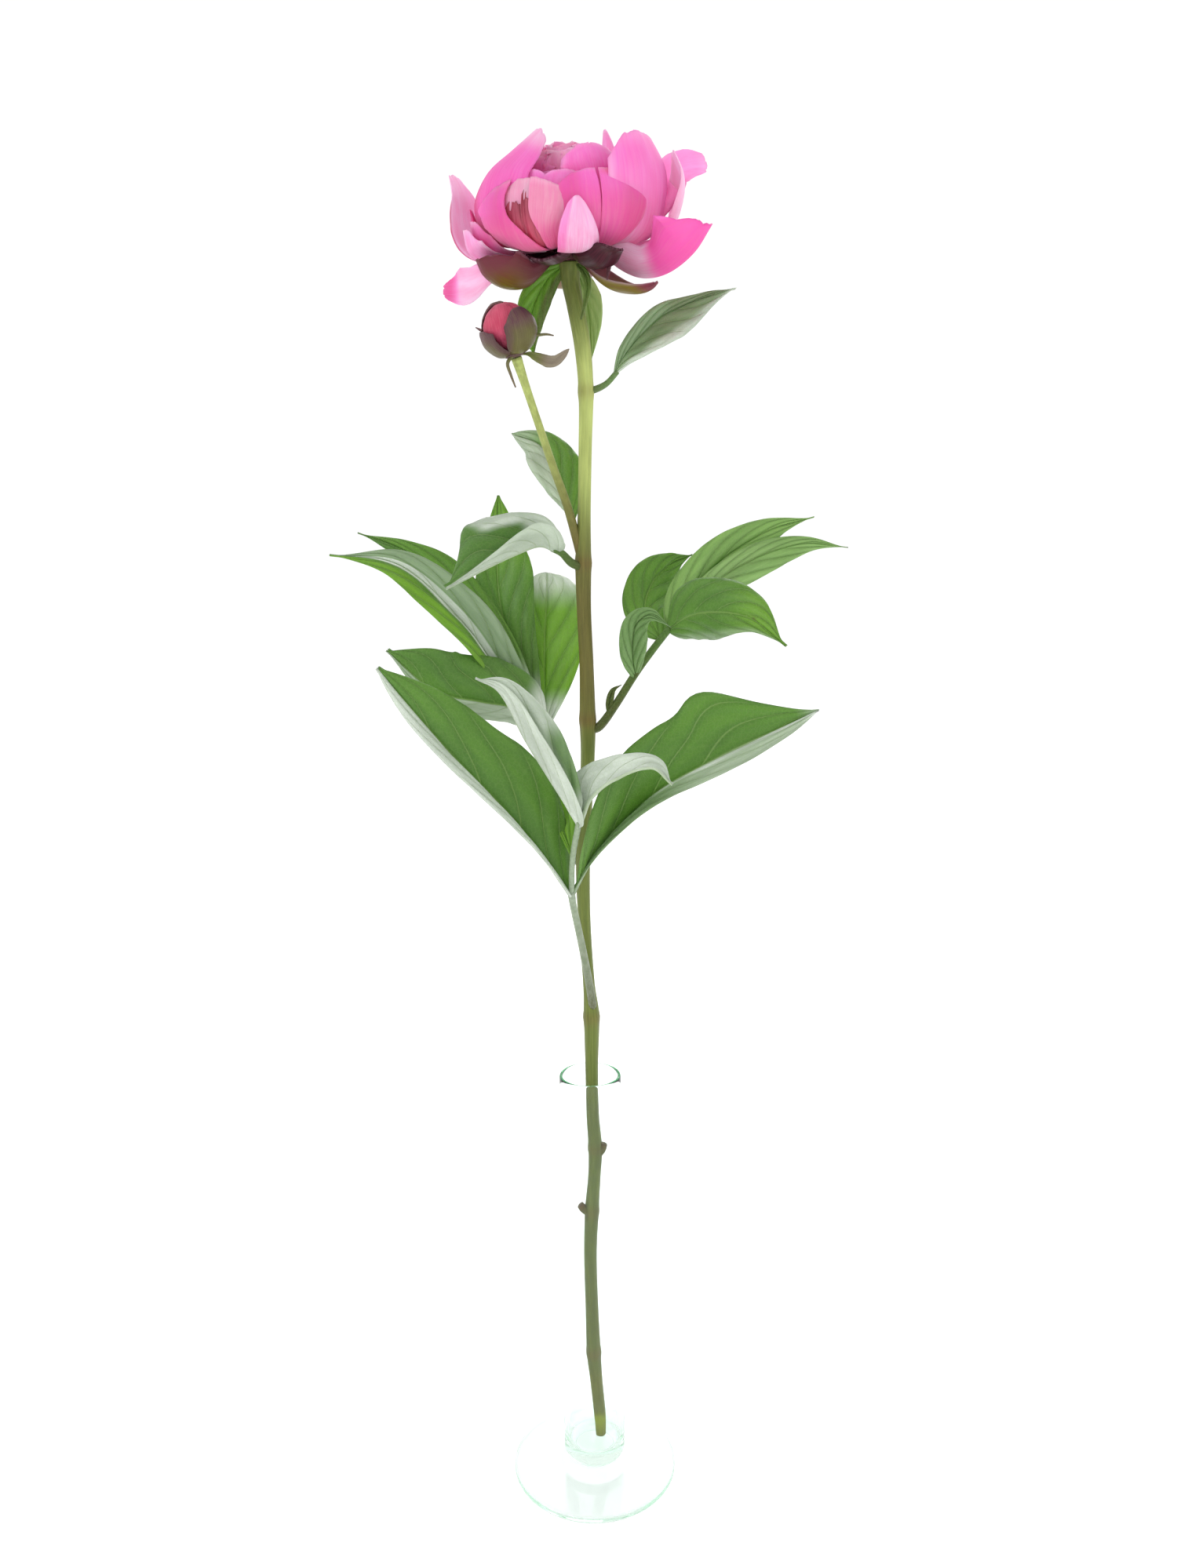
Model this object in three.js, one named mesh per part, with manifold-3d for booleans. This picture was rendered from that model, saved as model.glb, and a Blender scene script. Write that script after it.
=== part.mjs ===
// A peony in a bud vase: an open bloom, a side bud and the leaves of one cut stem, which stands
// in a narrow clear glass vase with a round disc foot.
// Millimetres, +Z up, +X to the viewer's right, -Y towards the viewer.
// The origin is the centre of the underside of the vase's foot.
import * as THREE from 'three';
import { mergeVertices } from 'three/addons/utils/BufferGeometryUtils.js';
import Module from 'manifold-3d';

const wasm = await Module();
wasm.setup();

// Driving dimensions of the glass vase
const VASE_HEIGHT = 200;
const RIM_RADIUS = 14.2;
const TUBE_BASE_RADIUS = 14.7;
const WALL = 1.8;
const FOOT_RADIUS = 38.8;
const FOOT_THICKNESS = 4;
const NECK_RADIUS = 9.5;
const NECK_TOP = 7;
const FLOOR_HEIGHT = 15;
const FLOOR_DOME = 1.4;
const VASE_SEGMENTS = 32;

// Thickness of the plant's sheets, and the clear space between pieces that lean on each other
const LEAF_THICKNESS = 0.7;
const PETAL_THICKNESS = 0.7;
const SEPAL_THICKNESS = 1;
const GAP = 0.3;

// Where the bloom and the bud sit on their stalks, and how far each leans:
// towards the viewer first, then to the viewer's right, in degrees
const BLOOM_SEAT = [-4, -1, 551];
const BLOOM_LEAN = [10, -2];
const BUD_SEAT = [-26, -14, 511.5];
const BUD_LEAN = [14, -16];
const BUD_RADIUS = 10;

const FRONT = new THREE.Vector3(0, -1, 0);
const BACK = new THREE.Vector3(0, 1, 0);
const radians = THREE.MathUtils.degToRad;

// A value that changes along a sheet: a number, or numbers spread evenly from base to tip.
function along(values, u) {
  if (!Array.isArray(values)) return values;
  const place = Math.min(Math.max(u, 0), 1) * (values.length - 1);
  const first = Math.min(Math.floor(place), values.length - 2);
  return THREE.MathUtils.lerp(values[first], values[first + 1], place - first);
}

// A smooth curve through points
function smoothCurve(points) {
  return new THREE.CatmullRomCurve3(points.map((p) => new THREE.Vector3(...p)), false, 'catmullrom', 0.5);
}

// The directions across and out of a sheet whose upper face looks towards a given direction
function facing(direction) {
  return (tangent) => {
    const face = direction.clone().addScaledVector(tangent, -direction.dot(tangent)).normalize();
    return { side: tangent.clone().cross(face), face };
  };
}

// The same where the direction across is given instead
function spanning(across) {
  return (tangent) => {
    const side = across.clone().addScaledVector(tangent, -across.dot(tangent)).normalize();
    return { side, face: side.clone().cross(tangent) };
  };
}

// A closed body from an indexed list of triangles
function solid(geometry) {
  const bare = geometry.clone();
  bare.deleteAttribute('normal');
  bare.deleteAttribute('uv');
  const merged = mergeVertices(bare, 1e-4);
  const corners = merged.index.array;
  const kept = [];
  for (let i = 0; i < corners.length; i += 3) {
    const [a, b, c] = [corners[i], corners[i + 1], corners[i + 2]];
    if (a !== b && b !== c && c !== a) kept.push(a, b, c);
  }
  return new wasm.Manifold(new wasm.Mesh({
    numProp: 3,
    vertProperties: Float32Array.from(merged.attributes.position.array),
    triVerts: Uint32Array.from(kept),
  }));
}

// A skin over a row of rings with the same even number of points. Both halves of a ring are split
// into triangles alike, and the first and last ring are zipped shut.
function loft(rings) {
  const count = rings[0].length;
  const half = count / 2;
  const at = (row, i) => row * count + (i % count);
  const index = [];
  for (let row = 0; row < rings.length - 1; row += 1) {
    for (let i = 0; i < count; i += 1) {
      const [a, b, c, d] = [at(row, i), at(row, i + 1), at(row + 1, i + 1), at(row + 1, i)];
      if (i < half) index.push(a, b, c, a, c, d);
      else index.push(a, b, d, b, c, d);
    }
  }
  const last = rings.length - 1;
  for (let i = 0; i < half - 1; i += 1) {
    const j = count - 1 - i;
    index.push(at(0, i), at(0, j), at(0, j - 1), at(0, i), at(0, j - 1), at(0, i + 1));
    index.push(at(last, i), at(last, j - 1), at(last, j), at(last, i), at(last, i + 1), at(last, j - 1));
  }
  const geometry = new THREE.BufferGeometry();
  const positions = rings.flat().flatMap((point) => [point.x, point.y, point.z]);
  geometry.setAttribute('position', new THREE.Float32BufferAttribute(positions, 3));
  geometry.setIndex(index);
  return solid(geometry);
}

// A round stalk through points [x, y, z, radius]
function stalk(points, { sides = 8, steps = 2, extra = 0, front = FRONT } = {}) {
  const curve = smoothCurve(points);
  const thickness = smoothCurve(points.map((p) => [p[3], 0, 0]));
  const frame = facing(front);
  const rows = (points.length - 1) * steps;
  const rings = [];
  for (let row = 0; row <= rows; row += 1) {
    const u = row / rows;
    const tangent = curve.getTangent(u);
    const { side, face } = frame(tangent);
    const centre = curve.getPoint(u);
    if (row === 0) centre.addScaledVector(tangent, -extra);
    if (row === rows) centre.addScaledVector(tangent, extra);
    const radius = thickness.getPoint(u).x + extra;
    const ring = [];
    for (let i = 0; i < sides; i += 1) {
      const angle = (2 * Math.PI * (i + 0.5)) / sides;
      ring.push(centre.clone()
        .addScaledVector(side, -Math.cos(angle) * radius)
        .addScaledVector(face, Math.sin(angle) * radius));
    }
    rings.push(ring);
  }
  return loft(rings);
}

// The half-width of a leaflet along its rib, from 0 to 1: a sine whose top lies nearer the base,
// raised to a power that is low at the rounded base and high at the drawn-out tip.
function leafOutline({ peak = 0.75, base = 0.75, tip = 1.5, least = 0.03 }) {
  return (u) => Math.max(Math.sin(Math.PI * u ** peak) ** (base + (tip - base) * u), least);
}

// A thin curved sheet along a rib. u runs from the base to the tip and v from the left edge to
// the right. tilt gives the angle, in degrees, by which the left and the right half rise from flat
// at the rib, and curl what is added to it by the edge. crown lowers the top edge towards its
// corners, wave lifts the edge in and out, and notches cut into the top edge at a given v.
// halfWidth gives the width of the left half, 0, or the right one, 1, at a given u.
function sheet({
  rib, frame, halfWidth, tilt = [0, 0], curl = [0, 0], crown = [0, 0], notches = [],
  wave = { height: 0, count: 0, phase: 0 }, thickness, rows, columns, extra = 0,
}) {
  const curve = smoothCurve(rib);
  const topEdge = (v) => notches.reduce(
    (top, notch) => top - notch.depth * Math.exp(-(((v - notch.at) / notch.width) ** 2)),
    1 - crown[v < 0 ? 0 : 1] * Math.abs(v) ** 3,
  );
  const slopeAt = (half_, u) => radians(along(tilt[half_], u));
  const rings = [];
  for (let row = 0; row <= rows; row += 1) {
    const upper = [];
    const lower = [];
    for (let column = 0; column <= columns; column += 1) {
      const v = (2 * column) / columns - 1;
      const q = Math.abs(v);
      const u = (row / rows) * topEdge(v);
      const which = v < 0 ? 0 : 1;
      const tangent = curve.getTangent(u);
      const { side, face } = frame(tangent);
      const width = halfWidth(which, u) + extra;
      const slope = slopeAt(which, u);
      const bend = radians(along(curl[which], u)) || 1e-4;
      const edgeSlope = slope + bend * q;
      const outward = (width * (Math.sin(edgeSlope) - Math.sin(slope))) / bend;
      const raised = (width * (Math.cos(slope) - Math.cos(edgeSlope))) / bend;
      const turns = wave.count * u + wave.phase + 0.4 * which;
      const ripple = wave.height * q * q * Math.sin(2 * Math.PI * turns);
      const place = curve.getPoint(u)
        .addScaledVector(side, Math.sign(v) * outward)
        .addScaledVector(face, raised + ripple);
      if (row === 0) place.addScaledVector(tangent, -extra);
      if (row === rows) place.addScaledVector(tangent, extra);
      const lean = q < 1e-6 ? (slopeAt(1, u) - slopeAt(0, u)) / 2 : Math.sign(v) * edgeSlope;
      const normal = face.clone().multiplyScalar(Math.cos(lean)).addScaledVector(side, -Math.sin(lean));
      const offset = thickness / 2 + extra;
      upper.push(place.clone().addScaledVector(normal, offset));
      lower.push(place.clone().addScaledVector(normal, -offset));
    }
    rings.push([...upper, ...lower.reverse()]);
  }
  return loft(rings);
}

// A leaflet, whose upper face looks to the front or the back. half gives the half-width, or one
// for the left and one for the right, each a number or a list from base to tip.
function leaflet({ rib, front = FRONT, half, tilt, curl, wave, shape = {}, rows = 6, columns = 4 }) {
  const [left, right] = Array.isArray(half) ? half : [half, half];
  const outline = leafOutline(shape);
  return sheet({
    rib, tilt, curl, wave, rows, columns,
    frame: facing(front),
    halfWidth: (which, u) => along(which === 0 ? left : right, u) * outline(u),
    thickness: LEAF_THICKNESS,
  });
}

// A petal or sepal of a flower: its midline is given by [distance from the flower's axis, height]
// in the plane that stands at an angle round the axis. widths holds the half-widths at the same
// points for the side at larger angles, and behind it those for the other side. curl and crown
// are given in the same order.
function petal(flower, {
  angle, profile, widths: [rightOf, leftOf = rightOf], tilt, curl = [30, 30], crown = [0.2, 0.2],
  notches, wave, thickness = PETAL_THICKNESS, rows = profile.length - 1, columns = 4, extra = 0,
}) {
  const turn = radians(angle);
  const rib = profile.map(([distance, height]) => new THREE.Vector3(
    distance * Math.cos(turn), distance * Math.sin(turn), height,
  ).applyMatrix4(flower).toArray());
  const across = new THREE.Vector3(Math.sin(turn), -Math.cos(turn), 0).transformDirection(flower);
  return sheet({
    rib, tilt, curl, crown, notches, wave, thickness, rows, columns, extra,
    frame: spanning(across),
    halfWidth: (which, u) => along(which === 0 ? rightOf : leftOf, u),
  });
}

// A body of revolution round a flower's axis through [radius, height], closed on the axis
function turned(flower, profile, segments = 20) {
  const points = profile.map(([radius, height]) => new THREE.Vector2(radius, height));
  return solid(new THREE.LatheGeometry(points, segments).rotateX(Math.PI / 2).applyMatrix4(flower));
}

// The place and the lean of a flower
function flowerFrame(seat, [towardsViewer, toRight]) {
  const turn = new THREE.Quaternion().setFromEuler(
    new THREE.Euler(radians(towardsViewer), radians(toRight), 0),
  );
  return new THREE.Matrix4().compose(new THREE.Vector3(...seat), turn, new THREE.Vector3(1, 1, 1));
}

function fuse(pieces) {
  return pieces.reduce((body, piece) => body.add(piece));
}

// The outer skin of a piece alone: hollows that its petals closed off are filled, scraps dropped
function whole(piece) {
  return piece.decompose().reduce((largest, part) => (part.volume() > largest.volume() ? part : largest));
}

// What is left of a piece when its neighbours' room is cut from it
function clearOf(piece, ...neighbours) {
  return whole(neighbours.reduce((rest, neighbour) => rest.subtract(neighbour), piece));
}

// A named part of its own colour
function named(name, body, { color, roughness, metalness = 0 }) {
  const { vertProperties, triVerts } = body.getMesh();
  const geometry = new THREE.BufferGeometry();
  geometry.setAttribute('position', new THREE.Float32BufferAttribute(vertProperties, 3));
  geometry.setIndex([...triVerts]);
  geometry.computeVertexNormals();
  const mesh = new THREE.Mesh(geometry, new THREE.MeshStandardMaterial({ color, roughness, metalness }));
  mesh.name = name;
  return mesh;
}

// The vase: a tube with a fire-polished lip and a thick floor, on a short neck and a disc foot
function vase() {
  const inner = RIM_RADIUS - WALL;
  const innerBase = TUBE_BASE_RADIUS - WALL;
  const lip = WALL / 2;
  const profile = [
    [0, 0], [FOOT_RADIUS - 2, 0], [FOOT_RADIUS - 0.4, 0.9], [FOOT_RADIUS, 2.2],
    [FOOT_RADIUS - 0.5, 3.4], [FOOT_RADIUS - 2, FOOT_THICKNESS],
    [NECK_RADIUS + 3, FOOT_THICKNESS + 0.6], [NECK_RADIUS, FOOT_THICKNESS + 1.8],
    [NECK_RADIUS + 0.6, NECK_TOP], [TUBE_BASE_RADIUS - 2.2, NECK_TOP + 1.2],
    [TUBE_BASE_RADIUS - 0.4, NECK_TOP + 3.2],
    [TUBE_BASE_RADIUS, NECK_TOP + 6], [RIM_RADIUS, VASE_HEIGHT - 12],
    [RIM_RADIUS, VASE_HEIGHT - lip], [RIM_RADIUS - 0.3 * WALL, VASE_HEIGHT - 0.15 * WALL],
    [RIM_RADIUS - lip, VASE_HEIGHT], [inner + 0.3 * WALL, VASE_HEIGHT - 0.15 * WALL],
    [inner, VASE_HEIGHT - lip], [inner, VASE_HEIGHT - 12],
    [innerBase, FLOOR_HEIGHT + 3], [innerBase - 1, FLOOR_HEIGHT + 0.8], [innerBase - 3.4, FLOOR_HEIGHT],
    [innerBase / 3, FLOOR_HEIGHT + FLOOR_DOME * 0.8], [0, FLOOR_HEIGHT + FLOOR_DOME],
  ];
  const points = profile.map(([radius, height]) => new THREE.Vector2(radius, height));
  return solid(new THREE.LatheGeometry(points, VASE_SEGMENTS).rotateX(Math.PI / 2));
}

const bloomFrame = flowerFrame(BLOOM_SEAT, BLOOM_LEAN);
const budFrame = flowerFrame(BUD_SEAT, BUD_LEAN);

// A point below a flower's seat, on its axis
function underSeat(flower, depth) {
  return new THREE.Vector3(0, 0, -depth).applyMatrix4(flower).toArray();
}

// The main stem leans on the back of the vase's rim, swells at each node where a leaf was borne,
// and ends under the bloom. The bud's branch and two cut stubs grow from it.
function stem(extra = 0) {
  const mainStem = [
    [3, 0, 16.75, 2.4], [2.6, 0.4, 27, 2.8], [1, 2, 45, 3], [0, 3, 58, 3.4], [-0.6, 4.4, 80, 3.1],
    [-1, 6, 107, 3.1], [0, 6.8, 129, 3.3], [1.4, 7.4, 146, 3], [2, 8, 160, 3.3], [1, 8.4, 177, 3],
    [0.8, 8.9, 200, 3], [1, 9.2, 224, 3.6], [0, 10, 240, 2.7], [-1.6, 10, 268, 2.8], [-2, 10, 294, 3.2],
    [-0.6, 9.2, 320, 3], [0.8, 8, 345, 3.1], [1, 8, 362, 3.5], [0.8, 7, 386, 3.1], [0, 5.4, 410, 3.1],
    [0, 4.2, 430, 3.4], [0.6, 3.4, 450, 2.8], [1.4, 2.4, 478, 2.8], [2, 1.8, 500, 3.1],
    [0.8, 1, 518, 3.4], [-2, 0, 534, 3.5], [...underSeat(bloomFrame, 8), 3.8],
    [...underSeat(bloomFrame, GAP), 4.4],
  ];
  const budBranch = [
    [-0.6, 4.4, 430, 1.8], [-3.4, 3, 442, 1.9], [-7, 0.4, 455, 1.8], [-12, -3, 469, 1.7],
    [-18, -7, 487, 1.6], [-22.6, -10.6, 501, 1.7], [...underSeat(budFrame, GAP), 2.2],
  ];
  const leftStub = [[1, 7, 127, 1.8], [-3.4, 6, 130, 2], [-5.4, 5.6, 132.6, 1.7]];
  const rightStub = [[1.6, 8, 155, 1.6], [5, 7.6, 159, 1.9], [6.4, 7.4, 162.4, 1.6]];
  return fuse([
    stalk(mainStem, { extra }),
    stalk(budBranch, { extra }),
    stalk(leftStub, { extra, steps: 1 }),
    stalk(rightStub, { extra, steps: 1 }),
  ]);
}

// The lower leaf, on a long stalk that comes forward: a big leaflet on each side and two small
// folded ones on a stalk of their own between them
const leafFront = [
  stalk([
    [1.6, 8, 229, 1.9], [0, 3, 243, 1.8], [-3, -7, 264, 1.6], [-6, -17, 283, 1.5], [-7, -22, 292, 1.7],
  ]),
  stalk([[-7, -21, 290, 1.3], [-6, -32, 309, 1.2], [-3, -40, 326, 1.3]]),
  leaflet({
    rib: [[-7, -22, 290], [-18.6, -26, 308.4], [-34.4, -30, 329.4], [-58, -35, 357], [-83, -38, 389]],
    half: [[9, 10, 11, 15, 22], [10, 13, 16, 19, 22, 24, 25, 26, 30, 34, 36]],
    tilt: [[98, 98, 86, 56], [-20, -10, -10]], curl: [-12, -14],
    wave: { height: 1, count: 2.2, phase: 0.1 }, shape: { peak: 0.92, base: 0.7, tip: 0.95 },
  }),
  leaflet({
    rib: [[-7, -22, 290], [5, -26, 311], [27, -30, 334], [54, -28, 349], [98, -18, 368]],
    half: [[31, 31, 31, 30, 28, 25, 23, 25, 35, 25, 10], 15],
    tilt: [[70, 50, -8, -14], [94, 92, 82, 62]], curl: [-6, -10],
    wave: { height: 1.2, count: 1.7, phase: 0.55 }, shape: { peak: 1.45, base: 1, tip: 0.8 }, rows: 10,
  }),
  leaflet({
    rib: [[-3, -39, 324], [-11, -46, 339], [-23, -50, 360], [-33, -48, 379], [-43, -45, 385]],
    half: [13, [8, 11, 16, 17, 16]], tilt: [[112, 122, 128], [30, 30, 40]], curl: [10, -14],
    wave: { height: 0.8, count: 1.5, phase: 0.2 },
  }),
  leaflet({
    rib: [[-3, -39, 324], [2, -48, 337], [12, -56, 346], [25, -62, 351], [33, -66, 345]],
    front: BACK,
    half: [11, [14, 13, 9.5, 11, 22]], tilt: [[75, 84, 80], [50, 26, 20]], curl: [0, -18],
    wave: { height: 0.8, count: 1.6, phase: 0 },
  }),
  leaflet({
    rib: [[-6, -31, 309], [-13, -16, 326], [-23, -9, 341], [-36, -6, 355]],
    half: 11, tilt: [[20, 10, 10], [10, 10, 10]],
  }),
];

// The leaf that stands behind it on the left, with five leaflets fanned out
const leafBackLeft = [
  stalk([
    [-2, 10, 294, 1.7], [-7, 13, 301, 1.6], [-12, 17, 314, 1.5], [-17, 23, 334, 1.5], [-19, 28, 356, 1.6],
  ]),
  leaflet({
    rib: [[-19, 28, 355], [-32, 20, 366], [-46, 12, 370], [-66, 4, 376], [-85, -2, 394]],
    half: [[10, 12, 12, 12, 12], [20, 20, 20, 20, 21, 21, 22, 27, 35, 50, 60]],
    tilt: [[20, 26, 20], -4], curl: [[60, 64, 50], -16],
    wave: { height: 1, count: 1.6, phase: 0.3 }, shape: { peak: 0.85, tip: 1.1 }, rows: 8,
  }),
  leaflet({
    rib: [[-19, 28, 355], [-38, 24, 381], [-55, 18, 406], [-80, 14, 430], [-110, 10, 435]],
    half: [[8, 9, 13, 20, 24], [9, 12, 14, 14.5, 14]], tilt: [[84, 70, 40], 12], curl: [-16, -16],
    wave: { height: 0.9, count: 2.1, phase: 0.7 },
  }),
  leaflet({
    rib: [[-19, 30, 355], [-36, 40, 394], [-62, 45, 424], [-84, 48, 438], [-105, 50, 446]],
    half: [11, [4, 5, 9, 10, 12]], tilt: [[30, 30, 30], -6], curl: [-10, -10],
    wave: { height: 1, count: 2.4, phase: 0.2 },
  }),
  leaflet({
    rib: [[-19, 31, 355], [-30, 42, 384], [-39, 50, 410], [-41, 56, 433], [-40, 60, 463]],
    half: [12, [9, 12, 16, 22, 24]], tilt: [[20, 14, 10], 14], curl: [-10, -14],
    wave: { height: 0.8, count: 2, phase: 0.5 }, shape: { peak: 0.95, base: 0.9, tip: 0.9 },
  }),
  leaflet({
    rib: [[-18, 30, 354], [-19, 42, 376], [-19, 53, 398], [-18, 62, 416], [-18, 70, 427]],
    half: [14, 20], tilt: [8, 6], curl: [10, 10],
    wave: { height: 0.7, count: 1.3, phase: 0.1 }, shape: { peak: 1.1, base: 0.9, tip: 0.55 },
  }),
];

// The leaf on the right, with a shoot in its axil
const leafRight = [
  stalk([
    [1, 8, 358, 1.9], [6, 8, 359, 2], [13, 8, 368, 1.8], [22, 7, 382, 1.7], [30, 6, 393, 1.6],
    [37, 4, 402, 1.5],
  ]),
  leaflet({
    rib: [[22, 7, 381], [20.4, -1, 392], [21.6, -9, 403.4], [27.6, -14, 408], [36, -17, 403]],
    half: [6.6, 6.6], tilt: [[40, 30, 10], [10, 20, 20]], curl: [-10, 0],
    wave: { height: 0.5, count: 1.4, phase: 0.2 },
  }),
  leaflet({
    rib: [[36, 5, 401], [44, -8, 407], [54, -20, 409], [67, -32, 406.5], [79, -45, 396]],
    half: [[16, 16, 15.4, 20, 28], 12], tilt: [[-20, -6, 0], [20, 0, 10]], curl: [-26, -20],
    wave: { height: 1, count: 2, phase: 0.6 },
  }),
  leaflet({
    rib: [[36, 5, 401], [46, 15, 415], [62, 25, 431], [84, 33, 444], [105, 38, 450]],
    half: [[11, 11, 11, 12, 12], 11], tilt: [10, 16], curl: [-12, -12],
    wave: { height: 0.8, count: 2, phase: 0.3 },
  }),
  leaflet({
    rib: [[40, 9, 406], [59, 20, 422], [80, 27, 433], [100, 30, 438], [119, 30, 436]],
    half: [6.4, 9], tilt: [14, 10], curl: [-10, -10],
    wave: { height: 0.6, count: 1.8, phase: 0.8 },
  }),
  leaflet({
    rib: [[33, 7, 397], [27, 18, 410], [31, 28, 422], [40, 36, 430], [50, 42, 434]],
    half: [11, 13], tilt: [16, 0], curl: [-14, -10],
  }),
  leaflet({
    rib: [[10, 8, 365], [10.6, 7.4, 370], [12.2, 7, 375], [16, 6.6, 377.4]],
    half: 1.9, tilt: [30, 30],
  }),
];

// The leaf in the middle on the left, folded along its rib and hanging forward
const leafLeft = [
  stalk([[0, 4.2, 428, 1.9], [-5, 0, 430, 1.8], [-9, -4, 434, 1.5], [-13, -8, 436, 1.4]]),
  leaflet({
    rib: [[-11, -6, 435], [-18, -16, 437], [-26, -27, 434], [-36, -38, 429], [-53, -50, 420]],
    half: [[14, 14, 11, 8, 8], [13, 15, 20, 30, 30]], tilt: [[96, 112, 120, 110], [20, 4, -16, -30]],
    curl: [24, -30],
    wave: { height: 1.4, count: 1.6, phase: 0.4 },
    shape: { peak: 0.85, base: 0.6, tip: 1.1, least: 0.07 },
  }),
];

// The small leaf behind the bud's branch
const leafUpperLeft = [
  stalk([[0, 4.4, 436, 1.6], [-3, 9, 443, 1.3], [-5, 13, 451, 1.2]]),
  leaflet({
    rib: [[-4, 11, 448], [-7, 17, 460], [-12, 26, 473], [-19, 36, 483], [-32, 45, 489]],
    half: [11, [13, 13, 11, 9, 8]], tilt: [[20, 24, 24], [-10, 0, 10]], curl: [-14, -14],
    wave: { height: 0.6, count: 1.6, phase: 0.3 }, shape: { peak: 1.1, base: 0.9, tip: 0.9 },
  }),
];

// The upper leaf on the right, a single folded leaflet
const leafUpperRight = [
  stalk([[1.6, 1.8, 500, 1.6], [7, 1, 501.4, 1.4], [11, 1, 503.6, 1.2], [15, 2, 508, 1.1]]),
  leaflet({
    rib: [[13, 1.6, 505.6], [20, 3, 517], [33, 6, 530], [48, 8, 537], [65, 10, 542.4]],
    half: [[6, 6, 5.4, 4, 8], [10, 13, 15, 15, 14]], tilt: [[20, 34, 20], [58, 40, 50]], curl: [-10, -16],
    wave: { height: 0.8, count: 1.7, phase: 0.15 }, shape: { peak: 0.95, base: 1.1, tip: 1.2 },
  }),
];

// Three green bracts under the bloom
const bract = (spec) => leaflet({ rows: 5, columns: 2, ...spec });
const bractLeft = bract({
  rib: [[-6, -0.6, 550], [-13.6, 0.6, 544], [-19.4, 1.4, 534], [-20.8, 2, 524], [-19.4, 2, 515]],
  half: [6.4, 6.6], tilt: [10, 20], curl: [-20, -30], shape: { peak: 0.9, base: 0.6, tip: 1.1 },
});
const bractStrap = bract({
  rib: [[-1, -4, 549], [2.2, -8, 544], [2.9, -10, 537], [0.2, -11.4, 526]],
  half: 1.7, tilt: [14, 14], shape: { peak: 0.8, base: 0.5, tip: 0.8, least: 0.3 },
});
const bractBack = bract({
  rib: [[-2, 3, 549.5], [1.4, 7.6, 542], [3.6, 8.6, 531], [4.4, 8, 514]],
  half: [6.4, 6.4], tilt: [6, 6], curl: [-10, -10], shape: { peak: 1, base: 0.7, tip: 1 },
});

// The calyx: a shallow cup and five sepals, dished like shells, and a small awl
function bloomCalyx(extra = 0) {
  const sepal = (spec) => petal(bloomFrame, {
    thickness: SEPAL_THICKNESS, rows: 4, curl: [40, 40], extra, ...spec,
  });
  return fuse([
    turned(bloomFrame, [
      [0, -extra], [4.6 + extra, -extra], [8 + extra, 1.2], [10 + extra, 3.4], [8 + extra, 5 + extra],
      [0, 5 + extra],
    ]),
    // the rounded shell in front on the left
    sepal({
      angle: -147, profile: [[6, 2.4], [13, -4], [21, -9.4], [30, -10], [38, -6], [42, 0.6]],
      widths: [[4, 9, 14, 16.6, 16, 12.6], [4, 8, 11, 13, 12, 9]],
      tilt: [12, 0], curl: [[30, 56, 74, 80, 76, 60], 60], crown: [0.14, 0.14],
    }),
    // the dark one with a long rim on the right, and the narrow one that hangs below it
    sepal({
      angle: -66, profile: [[6, 2.4], [13, -1.6], [22, -4.6], [32, -4.4], [40, -0.6], [47, -0.4]],
      widths: [[4, 7, 7, 6, 5, 2.6], [4, 8, 10, 9.4, 7, 2.6]],
      tilt: [0, 8], curl: [20, [40, 66, 76, 70, 50, 20]],
    }),
    sepal({
      angle: -44, profile: [[6, 2], [14, -6], [24, -12.4], [34, -14.6], [41, -14], [46.6, -11.4]],
      widths: [[3, 7, 9, 8, 4.4, 0.8], [3, 8, 10, 8.4, 5, 0.8]], curl: [34, 56], crown: [0.1, 0.1],
    }),
    // a short one between them and a rounded one behind
    sepal({
      angle: -113, profile: [[6, 2.4], [13, -0.6], [20, -2.2], [27, -1]], widths: [[4, 9, 11, 9]],
      curl: [46, 46], rows: 3,
    }),
    sepal({
      angle: 95, profile: [[6, 2.6], [17, -3], [30, -8], [39, -6], [44, 0]], widths: [[4, 10, 13, 12, 7]],
    }),
    stalk([
      [9, -19, 549, 1.5 + extra], [11.4, -24.4, 545, 1.2 + extra], [10.6, -26.4, 537.4, 0.5 + extra],
    ], { sides: 6, steps: 1 }),
  ]);
}

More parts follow.
